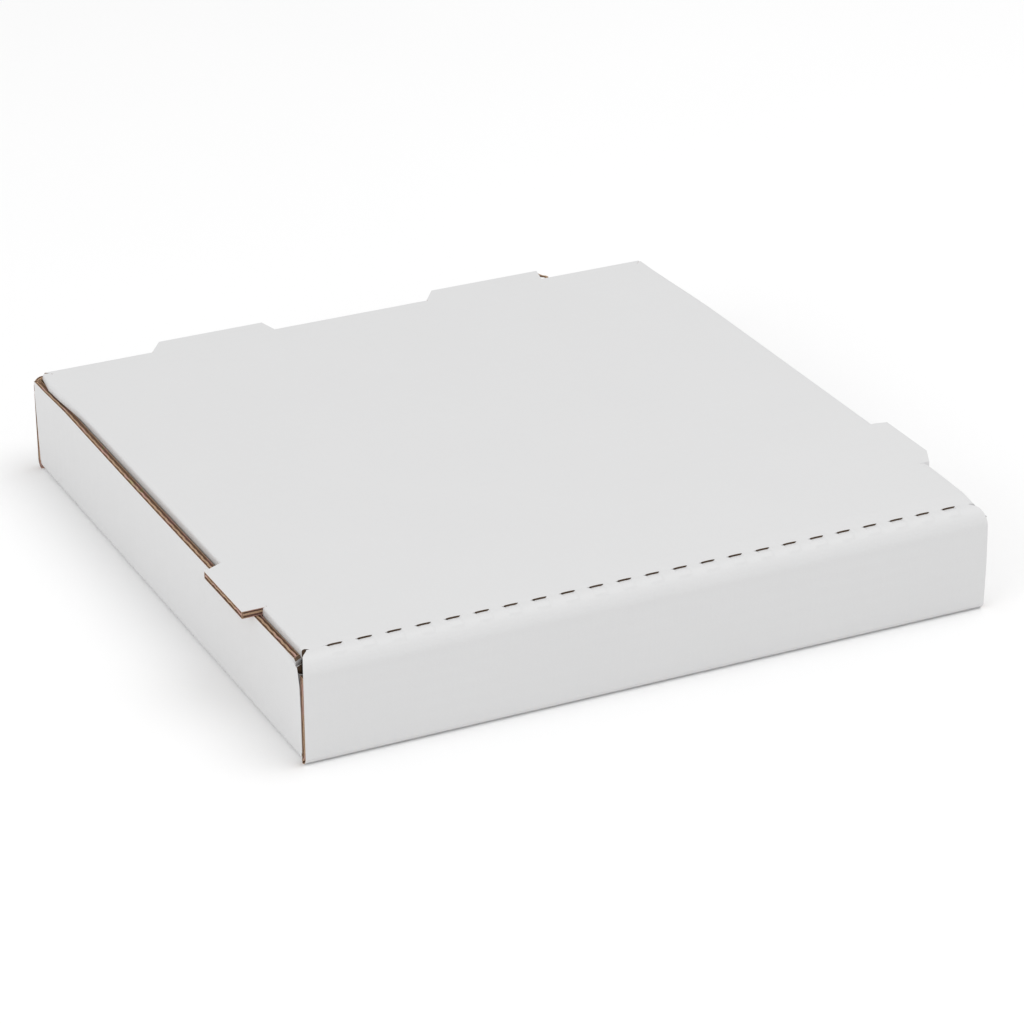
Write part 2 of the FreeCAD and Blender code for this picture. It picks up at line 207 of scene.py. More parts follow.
@dataclass(frozen=True)
class Settling:
    """How far the folded panels stand away from flat, as real board does.

    Side walls: wall_bow is how far the +X one bows outwards. wall_splay is how far their
    front ends lean out, over splay_length. end_reach is how far their ends reach towards
    the end walls, over end_turn. At the rear they curl in by end_curl under the wide
    fold, and bevel_fill is how far their bevel is pressed up, over curl_length of wall
    and between curl_low and curl_high under its top. far_side_drop is how much lower the
    -X one stands, above drop_from.
    End walls: hinge_bulge is how far the hinge wall bulges, and wall_corner is the radius
    of the front wall's top corners.
    Lid: lid_lift is how much higher it stands at its -X side, and comes in over
    lift_room beside the crease. lid_crown is its rise in the middle. fold_power is how
    square its folds are, 2 for round. mitre_reach and mitre_drop are how far along and
    below the folds their ends are drawn together, and bare is what stays of them. notch
    is how far the +X rear corner is cut back, where notch_x, notch_y and notch_z say.
    Tabs and ears: tab_shift and far_tab_stretch are how far the front tabs' tips stand
    to -X, the latter over far_tab. ear_short and ear_shift are how much shorter, over
    ear_rear, and how much further to -Y the ear at -X shows.
    Side folds: overhang is how far the lid reaches over the side wall between
    overhang_in and overhang_out, and far_overhang and rear_overhang are the same along
    the -X edge, between far_in and far_out, and at its rear end.
    Crease: slot_shift is how far the row of slots stands to -X, up to slot_shift_end.
    """

    wall_bow: float = 0.85 * MM
    wall_splay: float = 1.2 * MM
    splay_length: float = 40 * MM
    end_reach: float = 2.9 * MM
    end_turn: float = 10 * MM
    end_curl: float = 1.3 * MM
    bevel_fill: float = 4.1 * MM
    curl_length: float = 4 * MM
    curl_low: float = 14 * MM
    curl_high: float = 4 * MM
    far_side_drop: float = 1.0 * MM
    drop_from: float = 22 * MM
    hinge_bulge: float = 0.6 * MM
    wall_corner: float = 4.0 * MM
    lid_lift: float = 1.2 * MM
    lift_room: Stretch = Stretch(0.0, 12 * MM)
    lid_crown: float = 0.3 * MM
    fold_power: float = 10.0
    mitre_reach: float = 8 * MM
    mitre_drop: float = 2 * MM
    bare: float = 0.5 * MM
    notch: float = 1.1 * MM
    notch_x: Stretch = Stretch(149.0 * MM, 150.6 * MM)
    notch_y: Stretch = Stretch(143.5 * MM, 149.4 * MM)
    notch_z: Stretch = Stretch(43.2 * MM, 45.6 * MM)
    tab_shift: float = 2.3 * MM
    far_tab_stretch: float = 4.5 * MM
    far_tab: Stretch = Stretch(60 * MM, 99 * MM)
    ear_short: float = 7.0 * MM
    ear_rear: Stretch = Stretch(90 * MM, 108 * MM)
    ear_shift: float = 3.3 * MM
    overhang: float = 2.3 * MM
    overhang_in: Stretch = Stretch(95 * MM, 139 * MM)
    overhang_out: Stretch = Stretch(141 * MM, 153 * MM)
    far_overhang: float = 3.9 * MM
    rear_overhang: float = 2.4 * MM
    far_in: Stretch = Stretch(-152 * MM, -80 * MM)
    far_out: Stretch = Stretch(110 * MM, 149 * MM)
    slot_shift: float = 1.3 * MM
    slot_shift_end: Stretch = Stretch(141 * MM, 150 * MM)


def add_object(name: str, data: bpy.types.ID) -> bpy.types.Object:
    """Makes an object with its data and links it to the scene."""
    made = bpy.data.objects.new(name, data)
    bpy.context.scene.collection.objects.link(made)
    return made


def object_from(shape: bmesh.types.BMesh, name: str) -> bpy.types.Object:
    """Turns a finished shape into an object and frees the shape."""
    mesh = bpy.data.meshes.new(name)
    shape.to_mesh(mesh)
    shape.free()
    return add_object(name, mesh)


def plain_mesh(piece: bpy.types.Object) -> bpy.types.Object:
    """Replaces an object's mesh by its evaluated one and removes its modifiers.

    Args:
        piece: The object.

    Returns:
        The object.
    """
    graph = bpy.context.evaluated_depsgraph_get()
    made = bpy.data.meshes.new_from_object(piece.evaluated_get(graph))
    piece.modifiers.clear()
    old = piece.data
    made.name = old.name + "_final"
    piece.data = made
    bpy.data.meshes.remove(old)
    return piece


class Tree:
    """A node tree with short calls that add nodes and join them."""

    def __init__(self, tree: bpy.types.NodeTree) -> None:
        """Keeps the tree that the calls add to."""
        self.tree = tree

    @classmethod
    def group(cls, name: str, kind: str, inputs: dict[str, str], outputs: dict[str, str]) -> "Tree":
        """An empty node group with its sockets.

        Args:
            name: The group's name.
            kind: Shader or Geometry.
            inputs: Each input's name and type of socket.
            outputs: Each output's name and type of socket.

        Returns:
            The group's tree.
        """
        made = bpy.data.node_groups.new(name, kind + "NodeTree")
        for way, sockets in (("INPUT", inputs), ("OUTPUT", outputs)):
            for socket, socket_kind in sockets.items():
                made.interface.new_socket(socket, in_out=way, socket_type="NodeSocket" + socket_kind)
        return cls(made)

    def add(self, kind: str, inputs: dict | None = None, **settings: object) -> bpy.types.Node:
        """Adds one node.

        Args:
            kind: The node's type.
            inputs: For each input, by name or number, a socket to join or a constant.
            settings: The node's own settings.

        Returns:
            The new node.
        """
        node = self.tree.nodes.new(kind)
        for name, value in settings.items():
            setattr(node, name, value)
        for key, value in (inputs or {}).items():
            socket = node.inputs[key]
            if isinstance(value, bpy.types.NodeSocket):
                self.tree.links.new(value, socket)
            else:
                socket.default_value = value
        return node

    def math(self, operation: str, first: object, second: object = 0.0) -> bpy.types.NodeSocket:
        """The result of one Math node."""
        return self.add("ShaderNodeMath", {0: first, 1: second}, operation=operation).outputs[0]

    def mix(self, share: object, first: object, second: object) -> bpy.types.NodeSocket:
        """The result of one colour Mix node."""
        node = self.add("ShaderNodeMix", {0: share, 6: first, 7: second}, data_type="RGBA")
        return node.outputs[2]

    def ramp(self, value: object, low: float, high: float) -> bpy.types.NodeSocket:
        """A value between low and high, stretched over 0 to 1."""
        node = self.add("ShaderNodeMapRange", {0: value, 1: low, 2: high})
        return node.outputs[0]

    def noise(self, place: object, scale: object, detail: float) -> bpy.types.NodeSocket:
        """The value of a noise at a place."""
        node = self.add("ShaderNodeTexNoise", {"Vector": place, "Scale": scale, "Detail": detail})
        return node.outputs[0]

    def bump(self, height: object, distance: float, **more: object) -> bpy.types.NodeSocket:
        """A normal that a height disturbs by up to a distance."""
        inputs = {"Height": height, "Distance": distance, "Strength": 1.0, **more}
        return self.add("ShaderNodeBump", inputs).outputs[0]

    def vector(self, x: object, y: object = 0.0, z: object = 0.0) -> bpy.types.NodeSocket:
        """A vector of three parts."""
        return self.add("ShaderNodeCombineXYZ", {0: x, 1: y, 2: z}).outputs[0]

    def run(self, piece: bpy.types.Object, values: dict[str, object]) -> bpy.types.Object:
        """Runs the tree on an object as Geometry Nodes and leaves a plain mesh.

        Args:
            piece: The object.
            values: The tree's inputs by name.

        Returns:
            The object.
        """
        modifier = piece.modifiers.new(self.tree.name, "NODES")
        modifier.node_group = self.tree
        for socket in self.tree.interface.items_tree:
            if socket.in_out == "INPUT" and socket.name in values:
                modifier[socket.identifier] = values[socket.name]
        return plain_mesh(piece)

    def join(self, parts: list[bpy.types.NodeSocket]) -> bpy.types.NodeSocket:
        """Several geometries as one."""
        node = self.add("GeometryNodeJoinGeometry")
        for part in parts:
            self.tree.links.new(part, node.inputs[0])
        return node.outputs[0]


class EffectGroups:
    """Shader node groups that several of the board's finishes use, each built once.

    The scales are of slow changes, in times per metre: of where the flutes wander, of how
    strongly they show, and of a paper's clouds and stains. streak_stretch: how
    slowly the streaks change across the flutes, beside along them.
    """

    wander_scale = 9.0
    strength_scale = 14.0
    cloud_scale = 21.0
    stain_scale = 62.0
    streak_stretch = 0.09

    def __init__(self) -> None:
        """Builds the groups."""
        self.flutes = self._flutes()
        self.fibre = self._fibre()

    def _flutes(self) -> bpy.types.ShaderNodeTree:
        """The faint washboard that the flutes press through a liner."""
        sockets = {"Sheet": "Vector", "Pitch": "Float", "Unevenness": "Float"}
        tree = Tree.group("flutes_showing_through", "Shader", sockets, {"Height": "Float"})
        given = tree.add("NodeGroupInput").outputs
        across = tree.add("ShaderNodeSeparateXYZ", {0: given["Sheet"]}).outputs[1]
        turns = tree.math("DIVIDE", across, given["Pitch"])
        drift = tree.noise(given["Sheet"], self.wander_scale, 2.0)
        wander = tree.math("MULTIPLY", drift, given["Unevenness"])
        angle = tree.math("MULTIPLY", tree.math("ADD", turns, wander), math.tau)
        strength = tree.ramp(tree.noise(given["Sheet"], self.strength_scale, 1.0), 0.2, 0.75)
        height = tree.math("MULTIPLY", tree.math("SINE", angle), strength)
        tree.add("NodeGroupOutput", {"Height": height})
        return tree.tree

    def _fibre(self) -> bpy.types.ShaderNodeTree:
        """Paper fibres: a fine mottle, and streaks along the way the paper was made."""
        sockets = {"Sheet": "Vector", "Fibre scale": "Float", "Streak share": "Float"}
        results = {"Mottle": "Float", "Cloud": "Float", "Drift": "Float"}
        tree = Tree.group("paper_fibre", "Shader", sockets, results)
        given = tree.add("NodeGroupInput").outputs
        sheet = given["Sheet"]
        drawn_out = {0: sheet, 1: (1.0, self.streak_stretch, 1.0)}
        long_way = tree.add("ShaderNodeVectorMath", drawn_out, operation="MULTIPLY")
        fine = tree.noise(sheet, given["Fibre scale"], 5.0)
        streak = tree.noise(long_way.outputs[0], given["Fibre scale"], 3.0)
        share = given["Streak share"]
        fine_part = tree.math("MULTIPLY", fine, tree.math("SUBTRACT", 1.0, share))
        mottle = tree.math("ADD", fine_part, tree.math("MULTIPLY", streak, share))
        cloud = tree.noise(sheet, self.cloud_scale, 3.0)
        drift = tree.noise(sheet, self.stain_scale, 2.0)
        tree.add("NodeGroupOutput", {"Mottle": mottle, "Cloud": cloud, "Drift": drift})
        return tree.tree


@dataclass(frozen=True)
class PaperFinish:
    """The finish of one paper of the board.

    colour and shade: its two tones. fibre_scale: fibres per metre. flute_height: how
    much of the flutes shows through it. rough_low and rough_high: its range of gloss.
    stains: a reddish and an olive tone that come and go along a cut edge.
    """

    name: str
    colour: tuple[float, float, float]
    shade: tuple[float, float, float]
    fibre_scale: float
    streak_share: float = 0.3
    flute_height: float = 0.0
    fibre_height: float = 0.05 * MM
    rough_low: float = 0.85
    rough_high: float = 0.95
    specular: float = 0.1
    stains: tuple[tuple[float, float, float], ...] = ()

    def material(self, groups: EffectGroups, board: Board) -> bpy.types.Material:
        """Builds the material.

        Args:
            groups: The shared effects.
            board: The board's sizes.

        Returns:
            The material.
        """
        made = bpy.data.materials.new(self.name)
        made.use_nodes = True
        made.diffuse_color = (*self.colour, 1.0)
        made.node_tree.nodes.clear()
        tree = Tree(made.node_tree)
        sheet = tree.add("ShaderNodeUVMap", uv_map=SHEET_UV).outputs[0]
        unevenness = 0.35
        mottle_share = 0.7
        fibre = tree.add(
            "ShaderNodeGroup",
            {"Sheet": sheet, "Fibre scale": self.fibre_scale, "Streak share": self.streak_share},
            node_tree=groups.fibre,
        ).outputs
        flutes = tree.add(
            "ShaderNodeGroup",
            {"Sheet": sheet, "Pitch": board.flute_pitch, "Unevenness": unevenness},
            node_tree=groups.flutes,
        ).outputs
        mottle = tree.ramp(fibre["Mottle"], 0.32, 0.68)
        cloud = tree.ramp(fibre["Cloud"], 0.3, 0.7)
        fine = tree.math("MULTIPLY", mottle, mottle_share)
        tone = tree.math("ADD", fine, tree.math("MULTIPLY", cloud, 1 - mottle_share))
        colour = tree.mix(tone, (*self.shade, 1.0), (*self.colour, 1.0))
        for stain, low in zip(self.stains, (0.52, 0.62)):
            here = tree.ramp(fibre["Drift"], low, low + 0.05)
            colour = tree.mix(here, colour, (*stain, 1.0))
        gloss = {0: mottle, 3: self.rough_low, 4: self.rough_high}
        rough = tree.add("ShaderNodeMapRange", gloss).outputs[0]
        press = tree.bump(flutes["Height"], self.flute_height)
        grain = tree.bump(fibre["Mottle"], self.fibre_height, Normal=press)
        paper = {"Base Color": colour, "Roughness": rough, "Normal": grain}
        paper["Specular IOR Level"] = self.specular
        surface = tree.add("ShaderNodeBsdfPrincipled", paper)
        tree.add("ShaderNodeOutputMaterial", {"Surface": surface.outputs[0]})
        return made


WHITE_LINER = PaperFinish(
    name="white_coated_liner", colour=(0.688, 0.688, 0.690), shade=(0.668, 0.668, 0.670),
    fibre_scale=900.0, streak_share=0.35, flute_height=0.035 * MM, fibre_height=0.012 * MM,
    rough_low=0.42, rough_high=0.58, specular=0.38,
)
KRAFT_LINER = PaperFinish(
    name="brown_kraft_liner", colour=(0.47, 0.31, 0.18), shade=(0.33, 0.205, 0.115),
    fibre_scale=700.0, streak_share=0.6, flute_height=0.07 * MM, fibre_height=0.03 * MM,
    rough_low=0.72, rough_high=0.9, specular=0.2,
)
CUT_PAPER = PaperFinish(
    name="cut_liner_edge", colour=(0.44, 0.30, 0.20), shade=(0.25, 0.155, 0.10),
    stains=((0.40, 0.235, 0.19), (0.33, 0.275, 0.14)),
    fibre_scale=1500.0, streak_share=0.15, fibre_height=0.08 * MM,
)
# The inside of an opened cut edge: kraft brown, darkened well below the medium's tone as painted shade of
# the flute tunnels behind it.
CORE_PAPER_AND_PAINTED_SHADE = PaperFinish(
    name="flute_inside_brown_and_painted_shade", colour=(0.30, 0.19, 0.125), shade=(0.17, 0.105, 0.07),
    stains=((0.26, 0.15, 0.12), (0.22, 0.18, 0.09)), fibre_scale=1200.0,
)
# Painted shade: a near-black brown for cut faces in the crease's slots and in shaded gaps, standing in for
# the shade there.
CUT_IN_PAINTED_SHADE = PaperFinish(
    name="cut_edge_painted_shade", colour=(0.13, 0.085, 0.055), shade=(0.07, 0.045, 0.03),
    fibre_scale=1200.0, specular=0.05,
)
MEDIUM_PAPER = PaperFinish(
    name="brown_fluted_medium", colour=(0.50, 0.345, 0.23), shade=(0.32, 0.205, 0.13),
    stains=((0.45, 0.28, 0.23), (0.38, 0.315, 0.17)),
    fibre_scale=1300.0, rough_low=0.8, rough_high=0.92, specular=0.12,
)


class Finishes:
    """Every material of the carton, made once."""

    def __init__(self, board: Board) -> None:
        """Builds the materials."""
        groups = EffectGroups()
        papers = (WHITE_LINER, KRAFT_LINER, CUT_PAPER, CORE_PAPER_AND_PAINTED_SHADE, CUT_IN_PAINTED_SHADE)
        self.skins = [paper.material(groups, board) for paper in papers]
        self.medium = MEDIUM_PAPER.material(groups, board)


@dataclass
class CutEdge:
    """One cut edge of the board, which the fluted medium follows.

    points: the middle of the board along the edge. outward: the direction from the
    middle to the white face at each point. inward: the direction into the board.
    """

    points: list[Vector]
    outward: list[Vector]
    inward: Vector


class FoldedBoard:
    """One folded piece of board, made from the solid that the frame gives for it."""

    def __init__(self, node: str, board: Board, crease: Crease, settling: Settling) -> None:
        """Keeps the sizes and reads the tray's box and the hinge from the frame.

        Args:
            node: The name of the piece's node.
            board: The board's sizes.
            crease: The slotted fold's sizes.
            settling: How the panels stand away from flat.
        """
        self.node = node
        self.board = board
        self.crease = crease
        self.settling = settling
        hinge = Vector(frame["joints"][0]["pos_m"])
        self.crease_y = hinge.y
        self.top = hinge.z
        self.hinge_z = self.top - crease.radius
        tray_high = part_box("tray")[1]
        lid_play = 0.3 * MM
        self.half_width = tray_high.x
        self.lid_half = tray_high.x - board.thickness - lid_play
        self.half_depth = tray_high.y
        self.wall_height = self.top - board.thickness - crease.gap
        self.cut_edges: list[CutEdge] = []

    def build(self) -> bpy.types.Object:
        """Makes the folded board with open cut edges.

        Returns:
            The object, whose mesh lies where the node's does.
        """
        shape = self._merged_copy()
        self._mark_faces(shape)
        bmesh.ops.dissolve_limit(
            shape, angle_limit=math.radians(0.5), verts=shape.verts[:], edges=shape.edges[:],
            delimit={"MATERIAL"},
        )
        self._open_cut_edges(shape)
        self._cut_finer(shape)
        self._lay_out_sheet(shape)
        for vertex in shape.verts:
            vertex.co = self.settled(vertex.co)
        return self._finished(shape)

    def _merged_copy(self) -> bmesh.types.BMesh:
        """A copy of the node's mesh with its loose triangles joined."""
        shape = bmesh.new()
        shape.from_mesh(frame["nodes"][self.node].data)
        bmesh.ops.remove_doubles(shape, verts=shape.verts[:], dist=0.001 * MM)
        bmesh.ops.dissolve_degenerate(shape, edges=shape.edges[:], dist=0.0005 * MM)
        return shape

    def _mark_faces(self, shape: bmesh.types.BMesh) -> None:
        """Marks white, kraft and cut faces.

        A face whose back lies one board away and parallel is a liner. It is the white
        one where it looks away from the middle of the box.

        Args:
            shape: The board.
        """
        crease_band = 1.6 * MM
        middle = Vector((0, 0, self.top / 2))
        tree = BVHTree.FromBMesh(shape)
        for face in shape.faces:
            centre = face.calc_center_median()
            probes = [centre] + [centre.lerp(vertex.co, 0.4) for vertex in face.verts]
            liner = any(self._has_back(tree, probe, face.normal) for probe in probes)
            at_crease = abs(centre.y - self.crease_y) < crease_band and centre.z > self.wall_height
            if self.is_rolled_white(centre, face.normal):
                face.material_index = Skin.WHITE
            elif not liner:
                # Cut faces at the crease's slots and in shaded gaps get the painted shade colour, a
                # near-black brown.
                deep = at_crease or self.is_deep(centre, face.normal)
                face.material_index = Skin.PAINTED_SHADE if deep else Skin.CUT
            elif face.normal.dot(centre - middle) > 0:
                face.material_index = Skin.WHITE
            else:
                face.material_index = Skin.KRAFT

    def is_rolled_white(self, centre: Vector, normal: Vector) -> bool:
        """Whether a face belongs to a fold or an end that the white liner covers.

        Args:
            centre: The face's middle.
            normal: The face's normal.

        Returns:
            True for a face that shows white.
        """
        return normal.z > 0.9 and centre.z > self.top - 2 * SLACK

    def is_deep(self, centre: Vector, normal: Vector) -> bool:
        """Whether a cut face lies in a dark gap."""
        return False

    def _has_back(self, tree: BVHTree, probe: Vector, normal: Vector) -> bool:
        """Whether a parallel face lies one board behind a point of a face.

        Args:
            tree: The board's faces.
            probe: The point on the face.
            normal: The face's normal.

        Returns:
            True for a point of a liner.
        """
        slack = 0.35 * MM
        start = 0.01 * MM
        _, back_normal, _, away = tree.ray_cast(probe - normal * start, -normal, 1.0)
        if back_normal is None:
            return False
        return abs(away + start - self.board.thickness) < slack and back_normal.dot(normal) < -0.97

    def _open_cut_edges(self, shape: bmesh.types.BMesh) -> None:
        """Opens each long cut edge between its liners and keeps its line for the flutes.

        Args:
            shape: The board.
        """
        shape.normal_update()
        least_area = self.board.thickness * self.board.thickness * 2
        opened = []
        for face in shape.faces:
            if face.material_index != Skin.CUT or face.calc_area() < least_area or len(face.verts) < 4:
                continue
            inward = self._record_edge(face)
            if inward is not None:
                opened.append((face, inward))
        for face, inward in opened:
            depth = inward * self.board.open_depth
            bmesh.ops.inset_individual(shape, faces=[face], thickness=self.board.liner)
            for vertex in face.verts:
                vertex.co.z = min(vertex.co.z, self.top - self.board.liner)
            floor = bmesh.ops.extrude_discrete_faces(shape, faces=[face])["faces"][0]
            bmesh.ops.translate(shape, verts=floor.verts[:], vec=depth)
            floor.material_index = Skin.CORE
            for edge in floor.edges:
                for side in edge.link_faces:
                    side.material_index = Skin.CORE

    def _record_edge(self, face: bmesh.types.BMFace) -> Vector | None:
        """Keeps the lines along which a cut face meets the white liner.

        Args:
            face: The cut face.

        Returns:
            The direction into the board, or None where no white liner meets the face.
        """
        loops = list(face.loops)
        whites = [self._white_beside(loop) for loop in loops]
        normals = [white.normal.copy() for white in whites if white]
        if not normals:
            return None
        inward = self._into_board(face.normal, normals)
        first = next((i for i, white in enumerate(whites) if white and not whites[i - 1]), 0)
        loops = loops[first:] + loops[:first]
        whites = whites[first:] + whites[:first]
        run: list[tuple[Vector, Vector, Vector]] = []
        for loop, white in zip(loops + [None], whites + [None]):
            if white is not None:
                run.append((loop.vert.co.copy(), loop.link_loop_next.vert.co.copy(), white.normal.copy()))
            elif run:
                self._keep_run(run, inward)
                run = []
        return inward

    @staticmethod
    def _into_board(outward: Vector, normals: list[Vector]) -> Vector:
        """The direction into the board at a cut face.

        Args:
            outward: The cut face's normal.
            normals: The normals of the white liner beside it.

        Returns:
            A direction that runs within the board, along the fold where it is folded.
        """
        bent = max(normals, key=lambda normal: -normal.dot(normals[0]))
        along_fold = normals[0].cross(bent)
        if along_fold.length > 0.1:
            return along_fold.normalized() * -math.copysign(1, along_fold.dot(outward))
        return (normals[0] * outward.dot(normals[0]) - outward).normalized()

    @staticmethod
    def _white_beside(loop: bmesh.types.BMLoop) -> bmesh.types.BMFace | None:
        """The white face on the other side of a loop's edge, if there is one."""
        for other in loop.edge.link_faces:
            if other is not loop.face and other.material_index == Skin.WHITE:
                return other
        return None

    def _keep_run(self, run: list[tuple[Vector, Vector, Vector]], inward: Vector) -> None:
        """Keeps one unbroken line as a cut edge, at the middle of the board.

        Args:
            run: Each edge's two ends and the normal of the white face beside it.
            inward: The direction into the board.
        """
        corners = [piece[0] for piece in run] + [run[-1][1]]
        normals = [run[0][2]]
        for before, after in zip(run, run[1:]):
            normals.append((before[2] + after[2]).normalized())
        normals.append(run[-1][2])
        half = self.board.thickness / 2
        middles = [corner - normal * half for corner, normal in zip(corners, normals)]
        self.cut_edges.append(CutEdge(middles, normals, inward.copy()))

    def _cut_finer(self, shape: bmesh.types.BMesh) -> None:
        """Divides the flat panels, and the crease more finely, so that they can bend.

        Args:
            shape: The board.
        """
        spacing = 12.7 * MM
        heights = (11 * MM, 22 * MM, 33 * MM)
        planes = [(Vector((0, 0, height)), Axis.Z.value) for height in heights]
        for axis, reach in ((Axis.X.value, self.half_width), (Axis.Y.value, self.half_depth)):
            count = int(reach / spacing)
            planes += [(axis * (step * spacing), axis) for step in range(-count, count + 1)]
        self._bisect(shape, planes)
        self._bisect(shape, self.crease_lines()[:1])
        self._cut_crease(shape)

    def _cut_crease(self, shape: bmesh.types.BMesh) -> None:
        """Divides the board near the slotted crease along and across it.

        Args:
            shape: The board.
        """
        half = self.crease.slot_length / 2
        shares = (0.0, 0.35, 0.65, 0.86, 1.0, 4 / 3, 5 / 3, 2.0)
        places = [middle + share * half * side for middle in self.crease.slot_places
                  for share in shares for side in (-1, 1)]
        end = self.crease.row_end
        step = (self.crease_end() - end) / self.crease.web_steps
        places += [side * (end + index * step) for index in range(1, self.crease.web_steps + 1)
                   for side in (-1, 1)]
        planes = self.crease_lines()
        planes += [(Vector((place, 0, 0)), Axis.X.value) for place in places]
        self._bisect(shape, planes, self._near_crease)

    def crease_end(self) -> float:
        """Where the bridges end along X, before the board settles."""
        raise NotImplementedError

    def crease_lines(self) -> list[tuple[Vector, Vector]]:
        """Planes along the crease that divide it, each a point and a normal."""
        raise NotImplementedError

    def _near_crease(self, face: bmesh.types.BMFace) -> bool:
        """Whether a face belongs to the band of board beside the crease."""
        raise NotImplementedError

    @staticmethod
    def _bisect(
        shape: bmesh.types.BMesh,
        planes: list[tuple[Vector, Vector]],
        wanted: Callable[[bmesh.types.BMFace], bool] = lambda face: True,
    ) -> None:
        """Divides the faces that some planes cross.

        Args:
            shape: The board.
            planes: A point and a normal of each plane.
            wanted: Says of a face whether it may be divided.
        """
        faces = [face for face in shape.faces if wanted(face)]
        edges = {edge for face in faces for edge in face.edges}
        verts = {vertex for face in faces for vertex in face.verts}
        parts = [*verts, *edges, *faces]
        for place, normal in planes:
            parts = bmesh.ops.bisect_plane(
                shape, geom=parts, plane_co=place, plane_no=normal, dist=0.002 * MM
            )["geom"]

    def on_sheet(self, point: Vector, normal: Vector, skin: int) -> tuple[float, float]:
        """Where a point lies on the unfolded sheet, along and across the flutes.

        Args:
            point: A point of the flat-sided model.
            normal: The face's normal.
            skin: What the face shows.

        Returns:
            The place in metres.
        """
        raise NotImplementedError

    def _lay_out_sheet(self, shape: bmesh.types.BMesh) -> None:
        """Gives each face corner its place on the unfolded sheet.

        Args:
            shape: The board.
        """
        shape.normal_update()
        layer = shape.loops.layers.uv.new(SHEET_UV)
        for face in shape.faces:
            for loop in face.loops:
                loop[layer].uv = self.on_sheet(loop.vert.co, face.normal, face.material_index)

    def settled(self, point: Vector) -> Vector:
        """Where a point of the flat-sided model lies once the board has settled.

        Args:
            point: A point of the flat-sided model.

        Returns:
            The point's new place.
        """
        raise NotImplementedError

    def bridge_share(self, x: float) -> float:
        """How far x lies on a bridge of the crease: 0 in a slot, 1 in a bridge's middle."""
        return smooth_step(1.0, 2.0, self.crease.across_slot(x))

    def slot_shift(self, x: float) -> float:
        """How far the slots stand to -X at x."""
        return self.settling.slot_shift * (1 - self.settling.slot_shift_end.share(abs(x)))

    def dip(self, point: Vector) -> float:
        """How far the board near the crease sinks where a bridge bends."""
        away = (point.y - self.crease_y) / self.crease.dip_reach
        return self.crease.bridge_dip * self.bridge_share(point.x) * math.exp(-away * away)

    def _finished(self, shape: bmesh.types.BMesh) -> bpy.types.Object:
        """The shape as an object with smooth folds and sharp cut edges.

        Args:
            shape: The board, which is freed.

        Returns:
            The object.
        """
        sharp_angle = math.radians(50)
        shape.normal_update()
        for edge in shape.edges:
            faces = edge.link_faces
            same = len(faces) == 2 and faces[0].material_index == faces[1].material_index
            edge.smooth = same and edge.calc_face_angle(math.pi) < sharp_angle
        for face in shape.faces:
            face.smooth = True
        piece = object_from(shape, self.node + "_board")
        weighted = piece.modifiers.new("flat_panels", "WEIGHTED_NORMAL")
        weighted.keep_sharp = True
        return plain_mesh(piece)


